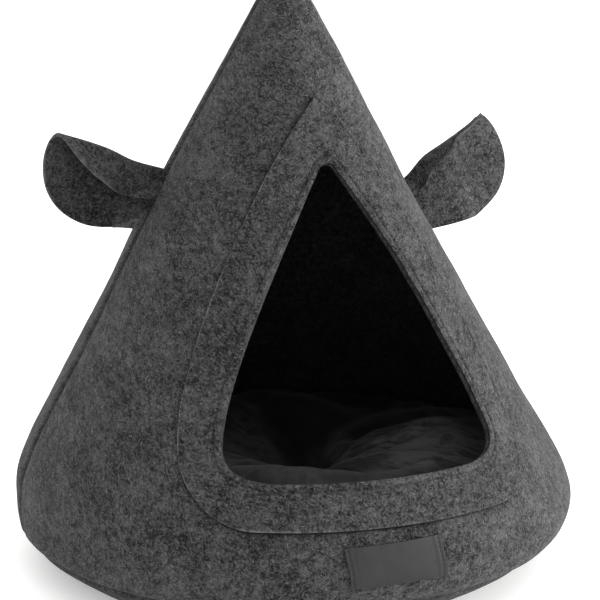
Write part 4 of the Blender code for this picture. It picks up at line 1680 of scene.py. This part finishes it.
    def rough(self) -> Piece:
        """Build the slightly undersized starting shape as a turned, closed form.

        Returns:
            The shape, with an even grid of faces.
        """
        radii = np.linspace(self.middle_radius, self.shoulder_radius, self.top_rows)
        radii = np.concatenate([radii, [self.brim_radius]])
        levels = np.interp(radii, *np.array(self.crown).T)
        sides = np.array(self.side_heights)
        underside = [self.foot_radius, self.underside_radius, self.middle_radius]
        profile_radius = np.concatenate([radii, self.side_radius(sides), underside])
        profile_height = np.concatenate([levels, sides, [self.foot_height] * len(underside)])
        profile_radius = profile_radius - self.start_shrink * (profile_radius > self.shrunk_beyond)
        turn = np.linspace(0.0, 2.0 * np.pi, self.columns, endpoint=False)
        x = profile_radius[:, None] * np.sin(turn)
        y = -profile_radius[:, None] * np.cos(turn)
        z = np.repeat(profile_height[:, None], self.columns, axis=1)
        top = np.zeros_like(z)
        top[:len(radii)] = 1.0
        fade = np.clip((self.mounds_end - profile_radius) / self.mounds_fade, 0.0, 1.0)[:, None]
        z = z + top * (self.top_rise(x, y, self.mounds) * fade - self.start_shrink)
        x = x + WALL.lean_table.read(z)
        points = np.stack([x, y, z], axis=-1).reshape(-1, 3)
        number = np.arange(len(points)).reshape(len(profile_radius), self.columns)
        number = np.concatenate([number, number[:, :1]], axis=1)
        corners = [number[:-1, :-1], number[1:, :-1], number[1:, 1:], number[:-1, 1:]]
        faces = np.stack(corners, axis=-1).reshape(-1, 4)
        piece = new_piece("cushion_plush", points, faces)
        rig = bmesh.new()
        rig.from_mesh(piece.data)
        bmesh.ops.holes_fill(rig, edges=[edge for edge in rig.edges if edge.is_boundary])
        bmesh.ops.recalc_face_normals(rig, faces=rig.faces[:])
        rig.to_mesh(piece.data)
        rig.free()
        remesh = piece.modifiers.new("Even_grid", "REMESH")
        remesh.mode = "VOXEL"
        remesh.voxel_size = self.voxel
        return self.applied(piece)

    def applied(self, piece: Piece) -> Piece:
        """Apply a piece's modifiers to its mesh.

        Args:
            piece: the piece.

        Returns:
            The same piece.
        """
        depsgraph = bpy.context.evaluated_depsgraph_get()
        mesh = bpy.data.meshes.new_from_object(piece.evaluated_get(depsgraph))
        piece.modifiers.clear()
        piece.data = mesh
        return piece

    def places(self, piece: Piece) -> Array:
        """Read a piece's vertices.

        Args:
            piece: the piece.

        Returns:
            A row of x, y and z for each vertex.
        """
        points = np.zeros(len(piece.data.vertices) * 3, np.float32)
        piece.data.vertices.foreach_get("co", points)
        return points.reshape(-1, 3).astype(float)

    def puff(self, piece: Piece) -> None:
        """Blow the cover up from inside as cloth, with its tuft and underside held.

        Args:
            piece: the starting shape, which is changed.
        """
        before = self.places(piece)
        reach = np.hypot(before[:, 0] - self.tuft[0], before[:, 1] - self.tuft[1])
        held = np.clip(1.0 - (reach - self.tuft_radius) / self.tuft_fade, 0.0, 1.0)
        held = held * (before[:, 2] > self.tuft_depth)
        held = np.maximum(held, (before[:, 2] < self.foot_height + self.foot_held).astype(float))
        group = piece.vertex_groups.new(name="held")
        for index in np.nonzero(held > 0.0)[0]:
            group.add([int(index)], float(held[index]), "REPLACE")
        cloth = piece.modifiers.new("Filling", "CLOTH")
        settings = cloth.settings
        settings.quality = 6
        settings.mass = 0.3
        settings.use_pressure = True
        settings.uniform_pressure_force = self.pressure
        settings.tension_stiffness = 12.0
        settings.compression_stiffness = 6.0
        settings.bending_stiffness = 0.3
        settings.effector_weights.gravity = 0.0
        settings.vertex_group_mass = "held"
        settings.shrink_min = -0.04
        cloth.collision_settings.use_collision = False
        cloth.point_cache.frame_start = 1
        cloth.point_cache.frame_end = self.frames
        scene = bpy.context.scene
        for step in range(1, self.frames + 1):
            scene.frame_set(step)
        self.applied(piece)
        scene.frame_set(1)
        after = self.places(piece)
        move = after - before
        length = np.linalg.norm(move, axis=1, keepdims=True)
        self.move_to(piece, before + move * np.minimum(1.0, self.swell_cap / np.maximum(length, 1e-9)))

    def move_to(self, piece: Piece, points: Array) -> None:
        """Move a piece's vertices to new points."""
        piece.data.vertices.foreach_set("co", points.astype(np.float32).reshape(-1))
        piece.data.update()

    def finish_cover(self, piece: Piece) -> None:
        """Smooth the cover, press its folds in, paint light and shade onto its pile and keep it clear of the
        wall and floor.

        Args:
            piece: the puffed shape, which is changed.
        """
        piece.vertex_groups.clear()
        smooth = piece.modifiers.new("Even_out", "CORRECTIVE_SMOOTH")
        smooth.use_only_smooth = True
        smooth.iterations = 4
        divide = piece.modifiers.new("Finer", "SUBSURF")
        divide.levels = 1
        divide.render_levels = 1
        self.applied(piece)
        points = self.places(piece)
        x, y, z = points.T
        upper = np.clip((z - self.top_height) / self.top_fade, 0.0, 1.0)
        points[:, 2] = z + upper * self.fold_rise(x, y)
        lean = WALL.lean_table.read(points[:, 2])
        radius = np.hypot(points[:, 0] - lean, points[:, 1])
        most = self.room(points[:, 2], self.final_clearance)
        scale = np.minimum(1.0, most / np.maximum(radius, 1e-6))
        points[:, 0] = lean + (points[:, 0] - lean) * scale
        points[:, 1] *= scale
        points[:, 2] = np.maximum(points[:, 2], self.foot_height)
        # painted light and shade of the pile
        laid = self.brushed_and_painted_light(x, y)
        self.move_to(piece, points)
        piece.data.shade_smooth()
        point_values(piece, "brushed_and_painted_light", laid)

    def brushed_and_painted_light(self, x: Array, y: Array) -> Array:
        """Painted light on the pile: highlights on crests near the doorway, shade in creases, at the back and
        on the front roll.

        Args:
            x: places from left to right.
            y: places from front to back.

        Returns:
            The share of painted light at each place, from 0 to a little over 1.
        """
        folds = self.fold_rise(x, y) / self.fold_full_highlight
        mounds = self.top_rise(x, y, self.mounds) / self.mound_full_highlight
        # painted highlights on fold and mound crests, painted shade in creases
        crests = np.clip(self.level_pale_share + folds + mounds, self.least_pale_share, 1.0)
        # painted light near the doorway, painted shade at the back and on the front roll
        near = past(-y, -self.near_edge, self.near_softness)
        behind_roll = past(y + self.roll_slant * np.maximum(x, 0.0), self.roll_edge, self.roll_softness)
        laid = crests * (self.far_share + (1.0 - self.far_share) * near)
        laid = laid * (self.roll_share + (1.0 - self.roll_share) * behind_roll)
        return np.clip(laid + self.top_rise(x, y, self.painted_light_patches), 0.0, self.most_pale_share)

    def fold_rise(self, x: Array, y: Array) -> Array:
        """Add up the cover's folds and its small waves.

        Args:
            x: places from left to right.
            y: places from front to back.

        Returns:
            What they add at each place.
        """
        total = np.zeros_like(x)
        for ridge in self.ridges:
            run_x, run_y = ridge.x1 - ridge.x0, ridge.y1 - ridge.y0
            length = math.hypot(run_x, run_y)
            along = ((x - ridge.x0) * run_x + (y - ridge.y0) * run_y) / length ** 2
            aside = ((y - ridge.y0) * run_x - (x - ridge.x0) * run_y) / length
            aside = aside - ridge.bow * 4.0 * along * (1.0 - along)
            started = np.clip(along / self.fold_start, 0.0, 1.0)
            ends = started * np.clip((1.0 - along) / self.fold_end, 0.0, 1.0)
            ends = ends * ends * (3.0 - 2.0 * ends)
            width = ridge.width * (0.6 + 0.8 * np.clip(along, 0.0, 1.0))
            total += ridge.rise * ends * bell(aside, width)
        for wave in PLUSH_WAVES:
            angle = 2.0 * np.pi * (wave.direction[0] * x + wave.direction[1] * y) / (wave.length_mm * MM)
            swayed = wave.phase + 0.9 * np.sin(41.0 * (x - y) + wave.phase)
            total += wave.rise_mm * MM * np.sin(angle + swayed)
        return total


# ---------------------------------------------------------------- the label
@dataclass
class Label:
    """A bare woven strip with turned ends, sewn on a little askew under the doorway."""

    width: float = 71.0 * MM
    height: float = 28.0 * MM
    across: float = -2.5 * MM
    level: float = 62.0 * MM
    tilt: float = math.radians(1.6)
    cloth: float = 0.7 * MM
    turned_end: float = 6.5 * MM
    turn_softness: float = 0.25 * MM
    turn_thickness: float = 0.55        # what the turned end adds, as a share of the cloth's thickness
    bow: float = 0.5 * MM
    gap: float = 0.3 * MM
    columns: int = 96
    rows: int = 34
    edge_crowding: float = 0.5
    stitch_inset: float = 2.6 * MM
    stitch_pull: float = 0.35 * MM
    stitch_pull_width: float = 0.6 * MM
    stitches_an_end: int = 9
    stitch_points: int = 6
    stitch_length: float = 2.1 * MM
    stitch_rise: float = 0.3 * MM
    stitch_margin: float = 1.0 * MM
    thread: float = 0.45 * MM

    def place(self, right: Array, up: Array) -> tuple[Array, Array]:
        """Find places on the label on the wall.

        Args:
            right: distances right of the label's middle.
            up: distances above it.

        Returns:
            The turn and the height of each place.
        """
        across = self.across + right * math.cos(self.tilt) - up * math.sin(self.tilt)
        level = self.level + right * math.sin(self.tilt) + up * math.cos(self.tilt)
        return across / WALL.radius(level), level

    def build(self) -> list[Piece]:
        """Build and dress the label and its stitches.

        Returns:
            The label and the stitches.
        """
        right, up = np.meshgrid(
            (crowded(self.columns, self.edge_crowding, self.edge_crowding) - 0.5) * self.width,
            (0.5 - crowded(self.rows, self.edge_crowding, self.edge_crowding)) * self.height,
        )
        turn, level = self.place(right, up)
        inward = self.width / 2.0 - np.abs(right)
        doubled = past(-inward, -self.turned_end, self.turn_softness)
        pulled = self.stitch_pull * bell(inward - self.stitch_inset, self.stitch_pull_width)
        bow = self.bow * np.sin(right * 70.0 + 0.8) * np.cos(up * 60.0)
        base = WALL.waves(turn, level) + self.gap + np.abs(bow) * (doubled < 0.5)
        thickness = self.cloth * (1.0 + self.turn_thickness * doubled)
        outer = WALL.point(turn, level, base + thickness - pulled)
        inner = WALL.point(turn, level, base)
        strip = sheet_piece("label_woven", outer, inner, np.stack([right, up], axis=-1))
        dress(strip, WovenFinish("damask_woven_label").material(), "label_cloth", "label")
        stitches = self.stitches()
        thread = ThreadFinish("spun_polyester_thread_label", shade="#1c1c1c", glint="#4c4c4c").material()
        dress(stitches, thread, "label_cloth")
        return [strip, stitches]

    def stitches(self) -> Piece:
        """Build a row of short stitches down either end.

        Returns:
            The stitches, as one piece.
        """
        share = np.linspace(-0.5, 0.5, self.stitch_points)
        over_cloth = self.gap + self.cloth * (1.0 + self.turn_thickness) - self.stitch_pull
        over_cloth = over_cloth + self.stitch_rise * np.cos(share * np.pi)
        runs = []
        for side in (-1.0, 1.0):
            right = np.full(self.stitch_points, side * (self.width / 2.0 - self.stitch_inset))
            for index in range(self.stitches_an_end):
                part = (index + 0.5) / self.stitches_an_end - 0.5
                up = part * (self.height - self.stitch_margin) + share * self.stitch_length
                turn, level = self.place(right, up)
                runs.append(WALL.point(turn, level, WALL.waves(turn, level) + over_cloth))
        return thread_piece("label_stitches", runs, self.thread)


# ---------------------------------------------------------------- the studio
@dataclass
class Studio:
    """A plain pale floor, soft light from the right and white surroundings, seen as in the photograph."""

    camera_place: tuple[float, float, float] = (-0.3544, -1.0383, 0.4120)
    camera_target: tuple[float, float, float] = (0.0096, -0.0075, 0.2047)
    lens_mm: float = 82.99
    sensor_mm: float = 36.0
    key_turn_degrees: float = 65.0
    key_climb_degrees: float = 6.0
    key_distance: float = 1.7
    key_size: float = 0.9
    key_watts: float = 19.0
    key_target: tuple[float, float, float] = (0.0, 0.0, 0.2)
    sky_even: float = 0.73
    sky_front: float = 0.35
    floor_size: float = 14.0
    floor_drop: float = 0.1 * MM

    def build(self) -> None:
        """Set up the view, the light and the floor."""
        self.camera()
        self.key_light()
        self.surroundings()
        self.floor()
        bpy.context.scene.view_settings.view_transform = "Standard"
        bpy.context.scene.view_settings.look = "High Contrast"

    def camera(self) -> None:
        """Place the camera."""
        data = bpy.data.cameras.new("camera")
        data.lens = self.lens_mm
        data.sensor_width = self.sensor_mm
        camera = bpy.data.objects.new("camera", data)
        place, target = Vector(self.camera_place), Vector(self.camera_target)
        camera.location = place
        camera.rotation_euler = (target - place).to_track_quat("-Z", "Y").to_euler()
        bpy.context.scene.collection.objects.link(camera)
        bpy.context.scene.camera = camera

    def key_light(self) -> None:
        """Place the soft light on the right."""
        data = bpy.data.lights.new("key", "AREA")
        data.shape = "DISK"
        data.size = self.key_size
        data.energy = self.key_watts
        light = bpy.data.objects.new("key", data)
        turn, climb = math.radians(self.key_turn_degrees), math.radians(self.key_climb_degrees)
        direction = Vector((
            math.sin(turn) * math.cos(climb), -math.cos(turn) * math.cos(climb), math.sin(climb),
        ))
        light.location = Vector(self.key_target) + direction * self.key_distance
        light.rotation_euler = (-direction).to_track_quat("-Z", "Y").to_euler()
        bpy.context.scene.collection.objects.link(light)

    def surroundings(self) -> None:
        """Make the white surroundings that fill the shadows, brighter in front than behind."""
        world = bpy.data.worlds.new("studio")
        world.use_nodes = True
        tree = world.node_tree
        direction = add_node(tree, "ShaderNodeTexCoord").outputs["Generated"]
        depth = add_node(tree, "ShaderNodeSeparateXYZ", {}, {0: direction}).outputs["Y"]
        strength = add_node(tree, "ShaderNodeMapRange", {}, {
            "Value": depth, "From Min": -1.0, "From Max": 1.0,
            "To Min": self.sky_even + self.sky_front, "To Max": self.sky_even,
        }).outputs[0]
        background = tree.nodes["Background"]
        background.inputs["Color"].default_value = (1.0, 1.0, 1.0, 1.0)
        tree.links.new(strength, background.inputs["Strength"])
        bpy.context.scene.world = world

    def floor(self) -> None:
        """Lay the pale floor."""
        half = self.floor_size / 2.0
        mesh = bpy.data.meshes.new("floor")
        corners = [(-half, -half, 0.0), (half, -half, 0.0), (half, half, 0.0), (-half, half, 0.0)]
        mesh.from_pydata(corners, [], [(0, 1, 2, 3)])
        floor = bpy.data.objects.new("floor", mesh)
        floor.location.z = -self.floor_drop
        mesh.materials.append(SweepFinish().material())
        bpy.context.scene.collection.objects.link(floor)


def report(pieces: list[Piece]) -> None:
    """Log each piece with its count of triangles.

    Args:
        pieces: the pieces.
    """
    for piece in pieces:
        triangles = sum(len(polygon.vertices) - 2 for polygon in piece.data.polygons)
        LOG.info("%s: %d triangles", piece.name, triangles)


def main() -> None:
    """Build the studio and every sub-assembly in order."""
    logging.basicConfig(level=logging.INFO, format="%(name)s %(message)s")
    Studio().build()
    report(Wall().build())
    report(DoorFacing().build())
    report(Floor().build())
    ear_material = FeltFinish("needle_punched_marl_felt_ear").material()
    for ear in (EAR_LEFT, EAR_RIGHT):
        report(ear.build(ear_material))
    report(Cushion().build())
    report(Label().build())


if __name__ == "__main__":
    main()
